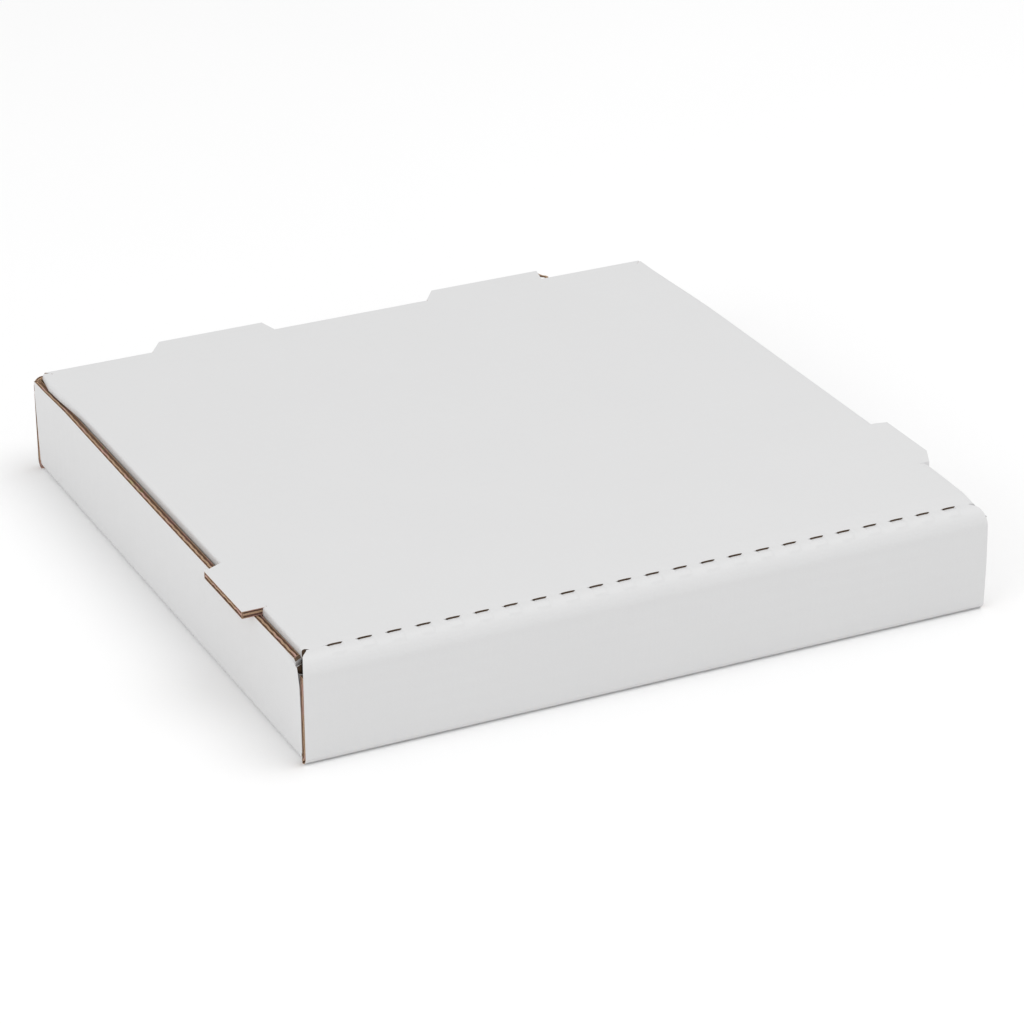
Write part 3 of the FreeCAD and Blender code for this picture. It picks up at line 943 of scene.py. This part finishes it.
class TrayBoard(FoldedBoard):
    """The tray: floor, hinge wall with its wide fold, front and side walls, corner flaps."""

    def crease_lines(self) -> list[tuple[Vector, Vector]]:
        """Planes through the wide fold's axis."""
        axis = Vector((0, self.crease_y, self.hinge_z))
        angles = [math.radians(degrees) for degrees in (12, 24, 36, 46, 54, 62, 68, 73, 78, 83, 87)]
        return [(axis, Vector((0, math.sin(angle), -math.cos(angle)))) for angle in angles]

    def _near_crease(self, face: bmesh.types.BMFace) -> bool:
        """Whether a face lies in the wide fold."""
        low_y = self.crease_y - FINE_SLACK
        low_z = self.hinge_z - FINE_SLACK
        return all(vertex.co.z > low_z and vertex.co.y > low_y for vertex in face.verts)

    @property
    def side_end(self) -> float:
        """Where the side walls end along Y."""
        return self.crease_y + 1 * MM

    def _in_fold(self, point: Vector) -> bool:
        """Whether a point lies in the wide fold."""
        return point.z > self.hinge_z and point.y > self.crease_y - self.crease.gap

    def is_rolled_white(self, centre: Vector, normal: Vector) -> bool:
        """The side walls' ends fold into the corner flaps, and the wide fold's are crushed.

        Args:
            centre: The face's middle.
            normal: The face's normal.

        Returns:
            True for a face that shows white.
        """
        end_band = 2 * MM
        beside_wall = self.half_width - 3 * self.board.thickness
        at_end = abs(abs(centre.y) - self.crease_y) < end_band and centre.z < self.wall_height
        end = at_end and abs(centre.x) > beside_wall and abs(normal.y) > 0.9
        fold_end = centre.y > self.crease_y and centre.z > self.hinge_z and abs(normal.x) > 0.5
        return end or fold_end or super().is_rolled_white(centre, normal)

    def is_deep(self, centre: Vector, normal: Vector) -> bool:
        """The wall ends' and corner flaps' tops under the wide fold are in shade.

        Args:
            centre: The face's middle.
            normal: The face's normal.

        Returns:
            True for a cut face that lies in shade.
        """
        under_flap_top = 38 * MM
        flap_end = 100 * MM
        flap_band = 4 * MM
        at_top = under_flap_top < centre.z < self.wall_height and normal.z > 0.3
        return at_top and centre.y > self.crease_y - flap_band and abs(centre.x) > flap_end

    def on_corner_flap(self, point: Vector, normal: Vector) -> bool:
        """Whether a point with that normal lies on one of the four corner flaps."""
        inside = self.half_depth - self.board.thickness - 2 * SLACK
        return abs(point.y) < inside and abs(normal.y) > 0.2 and abs(normal.z) < 0.1

    def on_sheet(self, point: Vector, normal: Vector, skin: int) -> tuple[float, float]:
        """Where a point lies on the unfolded sheet, along and across the flutes.

        Args:
            point: A point of the flat-sided model.
            normal: The face's normal.
            skin: What the face shows.

        Returns:
            The place in metres.
        """
        side_x = math.copysign(1, point.x)
        side_y = math.copysign(1, point.y)
        if self._in_fold(point):
            angle = math.atan2(point.z - self.hinge_z, point.y - self.crease_y)
            return point.x, self.half_depth + self.hinge_z + self.crease.radius * angle
        if self.on_corner_flap(point, normal):
            return point.z + self.half_width, side_y * (abs(point.y) + self.half_width - abs(point.x))
        rise = point.z if skin == Skin.WHITE else max(point.z - self.board.thickness, 0.0)
        if abs(normal.y) > 0.3:
            return point.x, side_y * (abs(point.y) + rise)
        return side_x * (abs(point.x) + rise), point.y

    def crease_end(self) -> float:
        """Where the wide fold ends along X at its top."""
        return self.lid_half

    def _cut_finer(self, shape: bmesh.types.BMesh) -> None:
        """Divides the panels as every board's, and the front wall's corners too.

        Args:
            shape: The tray.
        """
        super()._cut_finer(shape)
        corner = self.settling.wall_corner
        inside = self.board.thickness + SLACK - self.half_depth

        def in_front_wall(face: bmesh.types.BMFace) -> bool:
            """Whether a face lies in the front wall."""
            return all(vertex.co.y < inside for vertex in face.verts)

        planes = []
        for share in (1.0, 0.66, 0.33):
            planes.append((Vector((0, 0, self.wall_height - corner * share)), Axis.Z.value))
            for side in (-1, 1):
                place = Vector((side * (self.half_width - corner * share), 0, 0))
                planes.append((place, Axis.X.value))
        self._bisect(shape, planes, in_front_wall)

    def settled(self, point: Vector) -> Vector:
        """The walls bow and splay, and the wide fold takes its shape.

        Args:
            point: A point of the flat-sided model.

        Returns:
            The point's new place.
        """
        reach = self.board.thickness + SLACK
        if self._in_fold(point):
            moved = self._shaped_fold(point)
        elif abs(point.x) > self.half_width - reach and abs(point.y) < self.side_end + 1 * MM:
            moved = self._shaped_side(point)
        elif point.y < reach - self.half_depth:
            moved = self._shaped_front(point)
        else:
            moved = point.copy()
        if point.y > self.half_depth - reach:
            along = 0.5 - 0.5 * point.x / self.half_width
            rise = math.sin(math.pi * min(point.z / self.top, 1.0)) ** 2
            moved.y += self.settling.hinge_bulge * smooth_step(0.1, 1.0, along) * rise
        return moved

    def _shaped_side(self, point: Vector) -> Vector:
        """A side wall bows outwards, and its ends reach the end walls.

        Args:
            point: A point of the flat-sided model.

        Returns:
            The point's new place.
        """
        settling = self.settling
        set_back = self.half_width - self.board.thickness
        outer = min(max((abs(point.x) - set_back) / self.board.thickness, 0.0), 1.0)
        end = self.side_end
        near_end = smooth_step(end - settling.end_turn, end, abs(point.y))
        moved = point.copy()
        out = 0.0
        if point.x > 0:
            along = max(1 - (point.y / end) ** 2, 0.0)
            out = settling.wall_bow * along * smooth_step(0.0, self.wall_height, point.z)
        else:
            moved.z -= settling.far_side_drop * smooth_step(settling.drop_from, self.wall_height, point.z)
        if point.y < 0:
            splayed = smooth_step(end - settling.splay_length, end, -point.y)
            out += settling.wall_splay * splayed * point.z / self.wall_height
            moved.y -= settling.end_reach * near_end
        else:
            beside = smooth_step(end - settling.curl_length, end, point.y)
            curl_from = self.wall_height - settling.curl_low
            high = smooth_step(curl_from, self.wall_height - settling.curl_high, point.z)
            moved.y += (settling.end_reach + settling.end_curl / 2 * high) * near_end * outer
            moved.z += settling.bevel_fill * beside * high * (0.8 + 0.2 * outer)
            out -= settling.end_curl * beside * high * outer
        moved.x += math.copysign(out, point.x)
        return moved

    def _shaped_front(self, point: Vector) -> Vector:
        """The front wall's top corners are rounded.

        Args:
            point: A point of the flat-sided model.

        Returns:
            The point's new place.
        """
        corner = self.settling.wall_corner
        out = abs(point.x) - (self.half_width - corner)
        up = point.z - (self.wall_height - corner)
        moved = point.copy()
        if out > 0 and up > 0:
            share = max(out, up) / math.hypot(out, up)
            moved.x = math.copysign(self.half_width - corner + out * share, point.x)
            moved.z = self.wall_height - corner + up * share
        return moved

    def _shaped_fold(self, point: Vector) -> Vector:
        """Rounds the wide fold, shapes the lips of its slots and dips its bridges.

        Args:
            point: A point of the flat-sided model.

        Returns:
            The point's new place.
        """
        crease = self.crease
        across = point.y - self.crease_y
        up = point.z - self.hinge_z
        distance = math.hypot(across, up)
        angle = math.atan2(up, across)
        for radius in (crease.radius, crease.inner_radius):
            if abs(distance - radius) < 4 * SLACK:
                distance = radius
        lens = crease.lens(point.x)
        in_slot = smooth_step(0.0, 0.45, lens)
        near_lip = crease.lip_deg.share(math.degrees(angle))
        swell = crease.swell_deg.share(math.degrees(angle)) - near_lip
        distance += in_slot * (crease.band_swell * swell - crease.band_lip_sink * near_lip)
        angle += crease.band_lip_close / crease.radius * lens * near_lip
        angle -= crease.tear / crease.radius * crease.near_slot_end(point.x) * near_lip
        beyond = max(abs(point.x) - crease.row_end, 0.0)
        narrowing = (self.lid_half - crease.web_end) / (self.lid_half - crease.row_end)
        near_top = crease.narrow_deg.share(math.degrees(angle))
        moved = Vector((
            point.x - math.copysign(beyond * narrowing * near_top, point.x),
            self.crease_y + distance * math.cos(angle),
            self.hinge_z + distance * math.sin(angle),
        ))
        moved.z -= self.dip(point)
        moved.x -= self.slot_shift(point.x) * crease.shift_deg.share(math.degrees(angle))
        return moved


class LidBoard(FoldedBoard):
    """The lid: panel, side flaps with an ear each, front tuck flap and front tabs."""

    def crease_lines(self) -> list[tuple[Vector, Vector]]:
        """Planes across the panel beside the crease."""
        places = [self.crease_y - away * MM for away in (7, 5, 3.6, 2.4, 1.4, 0.7)]
        return [(Vector((0, place, 0)), Axis.Y.value) for place in places]

    def _in_panel(self, point: Vector) -> bool:
        """Whether a point lies in the lid's flat panel."""
        return point.z > self.top - self.board.thickness - FINE_SLACK

    def _near_crease(self, face: bmesh.types.BMFace) -> bool:
        """Whether a face lies in the strip of the panel beside the crease."""
        strip = self.crease_y - self.crease.strip - self.crease.gap
        return all(self._in_panel(vertex.co) and vertex.co.y > strip for vertex in face.verts)

    def is_rolled_white(self, centre: Vector, normal: Vector) -> bool:
        """The -X ear and side fold are crushed at the rear, as is the front fold by its slit.

        Args:
            centre: The face's middle.
            normal: The face's normal.

        Returns:
            True for a face that shows white.
        """
        rear = 100 * MM
        front = -140 * MM
        far_slit = (-110 * MM, -90 * MM)
        side = 4 * MM - self.lid_half
        rear_end = centre.x < side and centre.y > rear and normal.y > 0.5
        by_far_tab = far_slit[0] < centre.x < far_slit[1] and centre.y < front and normal.x > 0.3
        return rear_end or by_far_tab or super().is_rolled_white(centre, normal)

    def on_sheet(self, point: Vector, normal: Vector, skin: int) -> tuple[float, float]:
        """Where a point lies on the unfolded sheet, along and across the flutes.

        Args:
            point: A point of the flat-sided model.
            normal: The face's normal.
            skin: What the face shows.

        Returns:
            The place in metres.
        """
        face_height = self.top if skin == Skin.WHITE else self.top - self.board.thickness
        fall = max(face_height - point.z, 0.0)
        if abs(normal.y) > 0.3:
            return point.x, point.y - fall
        return math.copysign(abs(point.x) + fall, point.x), point.y

    def crease_end(self) -> float:
        """Where the bridges end along X."""
        return self.crease.web_end

    def settled(self, point: Vector) -> Vector:
        """The folds are square, the panel is crowned, and lips rise over the slots.

        Args:
            point: A point of the flat-sided model.

        Returns:
            The point's new place.
        """
        settling = self.settling
        moved = self._squared_folds(point)
        self._mitre(point, moved)
        if self._in_panel(point):
            across = 1 - (point.x / self.half_width) ** 2
            along = 1 - (point.y / self.crease_y) ** 2
            moved.z += settling.lid_crown * max(across, 0.0) * max(along, 0.0)
            if point.y > 0:
                away = point.y - self.crease_y
                lip = math.sqrt(self.crease.lens(point.x)) * math.exp(-(away / self.crease.dip_reach) ** 2)
                moved.z += self.crease.lid_lip_rise * lip - self.dip(point)
                beside = smooth_step(self.crease.gap - self.crease.strip, 0, away)
                moved.x -= self.slot_shift(point.x) * beside
            self._place_tabs_and_ears(point, moved)
            self._bow_side_folds(point, moved)
        moved.y -= self._corner_notch(point)
        lifted = settling.lift_room.share(self.crease_y - point.y)
        moved.z += settling.lid_lift * lifted * (self.half_width - point.x) / (2 * self.half_width)
        return moved

    def _squared_folds(self, point: Vector) -> Vector:
        """Draws the outside of the side and front folds towards a square corner.

        Args:
            point: A point of the flat-sided model.

        Returns:
            The point's new place.
        """
        radius = self.board.fold_radius
        power = self.settling.fold_power
        off_arc = 0.06 * MM
        moved = point.copy()
        up = point.z - (self.top - radius)
        for axis, limit in ((0, self.lid_half), (1, self.front_fold)):
            out = abs(point[axis]) - (limit - radius)
            rear = axis == 1 and point.y > 0
            reach = math.hypot(max(out, 0.0), max(up, 0.0))
            if rear or out <= 0 or up <= 0 or abs(reach - radius) > off_arc:
                continue
            share = ((out / reach) ** power + (up / reach) ** power) ** (-1 / power)
            moved[axis] = math.copysign(limit - radius + out * share, point[axis])
            moved.z = self.top - radius + up * share
        return moved

    def _mitre(self, point: Vector, moved: Vector) -> None:
        """Draws the ends of the side and front folds together at the lid's front corners.

        Args:
            point: A point of the flat-sided model.
            moved: Its new place, which is changed.
        """
        radius = self.board.fold_radius
        bare = self.settling.bare
        reach = self.settling.mitre_reach
        high = smooth_step(self.top - radius - self.settling.mitre_drop, self.top - radius, point.z)
        side_start = self.lid_half - radius
        front_start = self.front_fold - radius
        beyond_side = (abs(point.x) - side_start) / radius
        beyond_front = (-point.y - front_start) / radius
        if beyond_side < bare / radius * 1.1 and beyond_front > 0:
            near = smooth_step(side_start - reach, side_start + bare, abs(point.x))
            moved.x += math.copysign((radius - bare) * min(beyond_front, 1.0) * near * high, point.x)
        elif beyond_front < 0.02 and beyond_side > 0:
            near = smooth_step(front_start - reach, front_start, -point.y)
            moved.y -= radius * min(beyond_side, 1.0) * near * high

    @property
    def front_fold(self) -> float:
        """How far towards -Y the lid's front fold reaches."""
        return self.half_depth - self.board.thickness - self.board.crease_slack

    def _corner_notch(self, point: Vector) -> float:
        """How far the side fold's rear end is cut back, which opens a dark slit.

        Args:
            point: A point of the flat-sided model.

        Returns:
            The length that is cut away along Y.
        """
        if point.x < 0:
            return 0.0
        settling = self.settling
        high = settling.notch_z.share(point.z)
        return settling.notch * settling.notch_x.share(point.x) * high * settling.notch_y.share(point.y)

    def _place_tabs_and_ears(self, point: Vector, moved: Vector) -> None:
        """Shifts the front tabs' tips and shortens the ear at -X.

        Args:
            point: A point of the flat-sided model.
            moved: Its new place, which is changed.
        """
        settling = self.settling
        tip_length = 3 * MM
        ear_root = 4 * MM
        tip = smooth_step(self.front_fold, tip_length + self.front_fold, -point.y)
        far = settling.far_tab.share(-point.x)
        moved.x -= tip * (settling.tab_shift + settling.far_tab_stretch * far)
        on_ear = smooth_step(self.lid_half, self.lid_half + ear_root, -point.x)
        moved.y -= on_ear * (settling.ear_shift + settling.ear_short * settling.ear_rear.share(point.y))

    def _bow_side_folds(self, point: Vector, moved: Vector) -> None:
        """Draws the side folds out over the side walls.

        Args:
            point: A point of the flat-sided model.
            moved: Its new place, which is changed.
        """
        settling = self.settling
        fold_width = 2 * MM
        ear_start = self.lid_half + 1 * MM
        on_fold = smooth_step(self.lid_half - fold_width, self.lid_half, abs(point.x))
        if point.x > 0:
            reach = settling.overhang_in.share(-point.y) - settling.overhang_out.share(-point.y)
            moved.x += settling.overhang * on_fold * reach
        else:
            on_fold *= 1 - smooth_step(ear_start, ear_start + fold_width, -point.x)
            bow = settling.far_overhang * settling.far_in.share(point.y)
            rear_loss = settling.far_overhang - settling.rear_overhang
            moved.x -= on_fold * (bow - rear_loss * settling.far_out.share(point.y))


class FluteTree:
    """The Geometry Nodes tree that folds a plain strip of paper into flutes."""

    def __init__(self, board: Board, material: bpy.types.Material) -> None:
        """Builds the tree and keeps the values of its inputs."""
        self.values = {
            "Flute swing": board.flute_swing,
            "Paper thickness": board.medium,
            "Unevenness": 0.55,
            "Seed": 4.0,
            "Paper": material,
        }
        sockets = {"Geometry": "Geometry", **dict.fromkeys(self.values, "Float"), "Paper": "Material"}
        self.tree = Tree.group("fluted_strip", "Geometry", sockets, {"Geometry": "Geometry"})
        self._build()

    def _build(self) -> None:
        """Waves the strip, gives it the paper's thickness and closes it."""
        tree = self.tree
        given = tree.add("NodeGroupInput").outputs
        phase = self._attribute("flute_phase", "FLOAT")
        outward = self._attribute("outward", "FLOAT_VECTOR")
        place = tree.math("ADD", phase, given["Seed"])
        noise = tree.add(
            "ShaderNodeTexNoise", {"W": place, "Scale": 0.9, "Detail": 1.0}, noise_dimensions="1D"
        ).outputs[0]
        loss = tree.math("MULTIPLY", noise, given["Unevenness"])
        swing = tree.math("MULTIPLY", given["Flute swing"], tree.math("SUBTRACT", 1.0, loss))
        drift = tree.math("MULTIPLY", tree.math("SUBTRACT", noise, 0.5), 0.5)
        angle = tree.math("MULTIPLY", tree.math("ADD", phase, drift), math.tau)
        wave = tree.math("MULTIPLY", tree.math("SINE", angle), swing)
        lift = tree.math("SUBTRACT", wave, tree.math("MULTIPLY", given["Paper thickness"], 0.5))
        offset = tree.add("ShaderNodeVectorMath", {0: outward, "Scale": lift}, operation="SCALE").outputs[0]
        flat = given["Geometry"]
        waved = tree.add("GeometryNodeSetPosition", {"Geometry": flat, "Offset": offset}).outputs[0]
        thickened = {"Mesh": waved, "Offset": outward, "Offset Scale": given["Paper thickness"]}
        thick = tree.add("GeometryNodeExtrudeMesh", {**thickened, "Individual": False}).outputs[0]
        back = tree.add("GeometryNodeFlipFaces", {0: waved}).outputs[0]
        both = tree.join([back, thick])
        closed = tree.add("GeometryNodeMergeByDistance", {0: both, "Distance": 0.001 * MM}).outputs[0]
        real = tree.add("GeometryNodeRealizeInstances", {0: closed}).outputs[0]
        painted = tree.add("GeometryNodeSetMaterial", {"Geometry": real, "Material": given["Paper"]})
        tree.add("NodeGroupOutput", {0: painted.outputs[0]})

    def _attribute(self, name: str, kind: str) -> bpy.types.NodeSocket:
        """A named attribute of the strip."""
        node = self.tree.add("GeometryNodeInputNamedAttribute", {"Name": name}, data_type=kind)
        return next(socket for socket in node.outputs if socket.enabled)

    def apply(self, piece: bpy.types.Object) -> bpy.types.Object:
        """Folds a piece's strips and leaves a plain mesh."""
        return self.tree.run(piece, self.values)


class FlutedEdges:
    """The fluted medium seen between the liners along every cut edge of one board."""

    def __init__(self, owner: FoldedBoard) -> None:
        """Keeps the board whose edges are filled."""
        self.owner = owner
        self.board = owner.board

    def build(self, tree: FluteTree) -> bpy.types.Object:
        """Makes the strips and folds them into flutes.

        Args:
            tree: The Geometry Nodes tree.

        Returns:
            The object.
        """
        shape = bmesh.new()
        phase = shape.verts.layers.float.new("flute_phase")
        outward = shape.verts.layers.float_vector.new("outward")
        sheet = shape.loops.layers.uv.new(SHEET_UV)
        for edge in self.owner.cut_edges:
            self._add_strip(shape, edge, phase, outward)
        for face in shape.faces:
            for loop in face.loops:
                place = loop.vert.co
                loop[sheet].uv = (place.x + place.z, place.y + place.z)
        return tree.apply(object_from(shape, self.owner.node + "_fluting"))

    def _flute_direction(self, point: Vector, normal: Vector) -> Vector:
        """The way the flutes run in the folded board.

        Args:
            point: A point on the white face.
            normal: The face's normal.

        Returns:
            The direction.
        """
        if isinstance(self.owner, TrayBoard) and self.owner.on_corner_flap(point, normal):
            return Axis.Z.value
        if abs(normal.y) < 0.2:
            return Axis.Y.value.cross(normal).normalized()
        return Axis.X.value

    def _add_strip(self, shape: bmesh.types.BMesh, edge: CutEdge, phase: object, outward: object) -> None:
        """Adds the plain strip of one cut edge.

        Args:
            shape: The mesh that the strip joins.
            edge: The cut edge.
            phase: The layer that counts flutes.
            outward: The layer for the direction to the white face.
        """
        recess = 0.12 * MM
        depths = (recess, self.board.open_depth / 2, self.board.open_depth - FINE_SLACK)
        before = None
        turns = 0.0
        last = None
        for place, normal in self._resampled(edge):
            across = normal.cross(self._flute_direction(place + normal * self.board.thickness / 2, normal))
            turns = place.dot(across) if last is None else turns + (place - last).dot(across)
            last = place
            column = []
            for depth in depths:
                start = self.owner.settled(place + edge.inward * depth)
                vertex = shape.verts.new(start)
                vertex[phase] = (turns + edge.inward.dot(across) * depth) / self.board.flute_pitch
                vertex[outward] = normal
                column.append(vertex)
            if before is not None:
                for index in range(len(depths) - 1):
                    shape.faces.new((before[index], before[index + 1], column[index + 1], column[index]))
            before = column

    def _resampled(self, edge: CutEdge) -> list[tuple[Vector, Vector]]:
        """Evenly spaced points along a cut edge, clear of its two ends.

        Args:
            edge: The cut edge.

        Returns:
            Each point with the direction to the white face.
        """
        lengths = [0.0]
        for first, second in zip(edge.points, edge.points[1:]):
            lengths.append(lengths[-1] + (second - first).length)
        end_room = self.board.liner + 0.03 * MM
        span = lengths[-1] - 2 * end_room
        if span < 2 * self.board.flute_step:
            return []
        count = max(int(span / self.board.flute_step), 2)
        places = []
        segment = 0
        for step in range(count + 1):
            reach = end_room + span * step / count
            while segment < len(lengths) - 2 and lengths[segment + 1] < reach:
                segment += 1
            share = (reach - lengths[segment]) / (lengths[segment + 1] - lengths[segment])
            place = edge.points[segment].lerp(edge.points[segment + 1], share)
            normal = edge.outward[segment].lerp(edge.outward[segment + 1], share).normalized()
            places.append((place, normal))
        return places


class CreaseWeb:
    """The bridges of board between the slots."""

    def __init__(self, lid: LidBoard) -> None:
        """Keeps the lid, whose rear edge the bridges follow."""
        self.lid = lid
        self.crease = lid.crease

    def build(self, finishes: Finishes) -> bpy.types.Object:
        """Makes the bridges in the narrow gap along the crease, finely divided across it.

        Args:
            finishes: The materials of the board.

        Returns:
            The object.
        """
        crease = self.crease
        values = {
            "Bridges": crease.slot_count - 1,
            "Pitch": crease.slot_pitch,
            "Bridge length": crease.slot_pitch - crease.slot_length,
            "End length": crease.web_end - crease.row_end,
            "End place": (crease.web_end + crease.row_end) / 2,
            "Gap": crease.gap,
            "Board": self.lid.board.thickness,
            "Steps": crease.fan_steps,
        }
        piece = add_object("crease_bridges", bpy.data.meshes.new("crease_bridges"))
        self._tree(values, finishes).run(piece, values)
        layer = piece.data.uv_layers.get(SHEET_UV) or piece.data.uv_layers.new(name=SHEET_UV)
        for loop in piece.data.loops:
            place = piece.data.vertices[loop.vertex_index].co
            layer.data[loop.index].uv = (place.x, place.y + place.z)
        for vertex in piece.data.vertices:
            vertex.co.z -= self.lid.dip(vertex.co)
            vertex.co.x -= self.lid.slot_shift(vertex.co.x)
        return piece

    def _tree(self, values: dict[str, object], finishes: Finishes) -> Tree:
        """The Geometry Nodes tree that sets the bridges between the slots.

        Args:
            values: The tree's inputs.
            finishes: The materials of the board.

        Returns:
            The tree.
        """
        sockets = {name: "Int" if isinstance(value, int) else "Float" for name, value in values.items()}
        tree = Tree.group("crease_bridges", "Geometry", sockets, {"Geometry": "Geometry"})
        given = tree.add("NodeGroupInput").outputs
        rows = tree.math("ADD", given["Steps"], 1.0)
        last = tree.math("SUBTRACT", given["Bridges"], 1.0)
        first = tree.math("MULTIPLY", tree.math("MULTIPLY", last, given["Pitch"]), -0.5)
        end_start = tree.math("MULTIPLY", given["End place"], -1.0)
        end_apart = tree.math("MULTIPLY", given["End place"], 2.0)
        bridge = self._block(tree, given, given["Bridge length"], rows)
        end = self._block(tree, given, given["End length"], rows)
        ends = self._row(tree, end, 2, end_start, end_apart)
        bridges = self._row(tree, bridge, given["Bridges"], first, given["Pitch"])
        middle = (0.0, self.lid.crease_y - self.crease.gap / 2, self.lid.top - self.lid.board.thickness / 2)
        joined = tree.join([ends, bridges])
        placed = tree.add("GeometryNodeTransform", {"Geometry": joined, "Translation": middle}).outputs[0]
        real = tree.add("GeometryNodeRealizeInstances", {0: placed}).outputs[0]
        normal = tree.add("GeometryNodeInputNormal").outputs[0]
        facing = tree.add("ShaderNodeSeparateXYZ", {0: normal}).outputs
        under = tree.math("LESS_THAN", facing[2], -0.5)
        side = tree.math("GREATER_THAN", tree.math("ABSOLUTE", facing[0]), 0.5)
        painted = real
        for chosen, skin in ((True, Skin.WHITE), (under, Skin.KRAFT), (side, Skin.CUT)):
            painted = tree.add(
                "GeometryNodeSetMaterial",
                {"Geometry": painted, "Selection": chosen, "Material": finishes.skins[skin]},
            ).outputs[0]
        tree.add("NodeGroupOutput", {0: painted})
        return tree

    def _block(self, tree: Tree, given: object, length: object, rows: object) -> bpy.types.NodeSocket:
        """A thin block of board, finely divided along and across the crease.

        Args:
            tree: The tree.
            given: Its inputs.
            length: The block's length along the crease.
            rows: Its rows of points across the crease.

        Returns:
            The block.
        """
        size = tree.vector(length, given["Gap"], given["Board"])
        columns = self.crease.web_steps + 1
        block = {"Size": size, "Vertices X": columns, "Vertices Y": rows, "Vertices Z": 2}
        return tree.add("GeometryNodeMeshCube", block).outputs[0]

    @staticmethod
    def _row(
        tree: Tree, block: object, count: object, start: object, apart: object
    ) -> bpy.types.NodeSocket:
        """A row of blocks along the crease.

        Args:
            tree: The tree.
            block: What is repeated.
            count: How many there are.
            start: The first one's place.
            apart: The distance from one to the next.

        Returns:
            The row.
        """
        row = {"Count": count, "Start Location": tree.vector(start), "Offset": tree.vector(apart)}
        line = tree.add("GeometryNodeMeshLine", row).outputs[0]
        return tree.add("GeometryNodeInstanceOnPoints", {"Points": line, "Instance": block}).outputs[0]


@dataclass(frozen=True)
class Camera:
    """The photograph's point of view.

    target: the point it looks at. heading_deg: how far it is turned from looking
    along -Y towards -X. tilt_deg: how far it looks down. lens: for a sensor 36 mm wide.
    """

    target: tuple[float, float, float] = (3.9 * MM, 28.5 * MM, 24 * MM)
    distance: float = 1.682
    heading_deg: float = 25.45
    tilt_deg: float = 25.45
    roll_deg: float = -0.32
    lens: float = 136.87

    def build(self) -> bpy.types.Object:
        """Makes the camera and gives it to the scene."""
        lens = bpy.data.cameras.new("camera")
        lens.lens = self.lens
        lens.sensor_width = 36.0
        camera = add_object("camera", lens)
        heading = math.radians(self.heading_deg)
        tilt = math.radians(self.tilt_deg)
        level = math.cos(tilt)
        forward = Vector((-math.sin(heading) * level, -math.cos(heading) * level, -math.sin(tilt)))
        place = Matrix.Translation(Vector(self.target) - forward * self.distance)
        turn = Euler((math.pi / 2 - tilt, 0.0, math.pi - heading)).to_matrix().to_4x4()
        camera.matrix_world = place @ turn @ Matrix.Rotation(math.radians(self.roll_deg), 4, "Z")
        bpy.context.scene.camera = camera
        return camera


@dataclass(frozen=True)
class SoftLight:
    """One large soft light over the table."""

    name: str
    place: tuple[float, float, float]
    size: float
    watts: float

    def build(self) -> None:
        """Makes the light and turns it to the carton."""
        area = bpy.data.lights.new(self.name, "AREA")
        area.shape = "DISK"
        area.size = self.size
        area.energy = self.watts
        light = add_object(self.name, area)
        place = Vector(self.place)
        light.location = place
        light.rotation_euler = (-place).to_track_quat("-Z", "Y").to_euler()


@dataclass(frozen=True)
class Studio:
    """A plain pale floor under even studio light."""

    floor_radius: float = 9.0
    sky_strength: float = 0.80
    lights: tuple[SoftLight, ...] = (
        SoftLight("overhead_softbox", (-0.9, 0.5, 2.6), 2.2, 22.0),
        SoftLight("side_softbox", (2.4, 1.0, 1.2), 1.8, 14.0),
    )

    def build(self) -> None:
        """Makes the floor, the sky and the lights."""
        scene = bpy.context.scene
        scene.view_settings.view_transform = "Standard"
        world = bpy.data.worlds.new("pale_room")
        scene.world = world
        world.use_nodes = True
        background = world.node_tree.nodes["Background"]
        background.inputs["Color"].default_value = (1.0, 1.0, 1.0, 1.0)
        background.inputs["Strength"].default_value = self.sky_strength
        self._floor()
        for light in self.lights:
            light.build()

    def _floor(self) -> None:
        """The floor, a wide pale disc."""
        shape = bmesh.new()
        bmesh.ops.create_circle(shape, cap_ends=True, segments=96, radius=self.floor_radius)
        floor = object_from(shape, "floor")
        paint = bpy.data.materials.new("pale_floor")
        paint.use_nodes = True
        tree = Tree(paint.node_tree)
        surface = paint.node_tree.nodes["Principled BSDF"]
        place = tree.add("ShaderNodeTexCoord").outputs["Object"]
        tone = tree.mix(tree.noise(place, 3.0, 2.0), (0.93, 0.93, 0.93, 1.0), (0.95, 0.95, 0.95, 1.0))
        tree.tree.links.new(tone, surface.inputs["Base Color"])
        surface.inputs["Roughness"].default_value = 0.9
        surface.inputs["Specular IOR Level"].default_value = 0.1
        floor.data.materials.append(paint)


@dataclass
class PizzaBox:
    """The whole carton, built in order: tray, lid, fluted edges, crease."""

    board: Board = field(default_factory=Board)
    crease: Crease = field(default_factory=Crease)
    settling: Settling = field(default_factory=Settling)

    def build(self) -> None:
        """Builds and dresses every piece, and gives the tray's and lid's pieces their bodies."""
        finishes = Finishes(self.board)
        flute_tree = FluteTree(self.board, finishes.medium)
        tray = TrayBoard("tray", self.board, self.crease, self.settling)
        lid = LidBoard("lid", self.board, self.crease, self.settling)
        for owner in (tray, lid):
            piece = owner.build()
            for material in finishes.skins:
                piece.data.materials.append(material)
            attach(piece, owner.node)
            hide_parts(owner.node)
            report(piece)
            fluting = FlutedEdges(owner).build(flute_tree)
            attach(fluting, owner.node)
            report(fluting)
        web = CreaseWeb(lid).build(finishes)
        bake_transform(web)
        report(web)


def report(piece: bpy.types.Object) -> None:
    """Logs a finished piece and its number of faces."""
    LOG.info("%s: %d faces", piece.name, len(piece.data.polygons))


def main() -> None:
    """Builds the studio, the camera and the carton."""
    logging.basicConfig(level=logging.INFO, format="%(name)s %(message)s")
    Studio().build()
    Camera().build()
    PizzaBox().build()


if __name__ == "__main__":
    main()
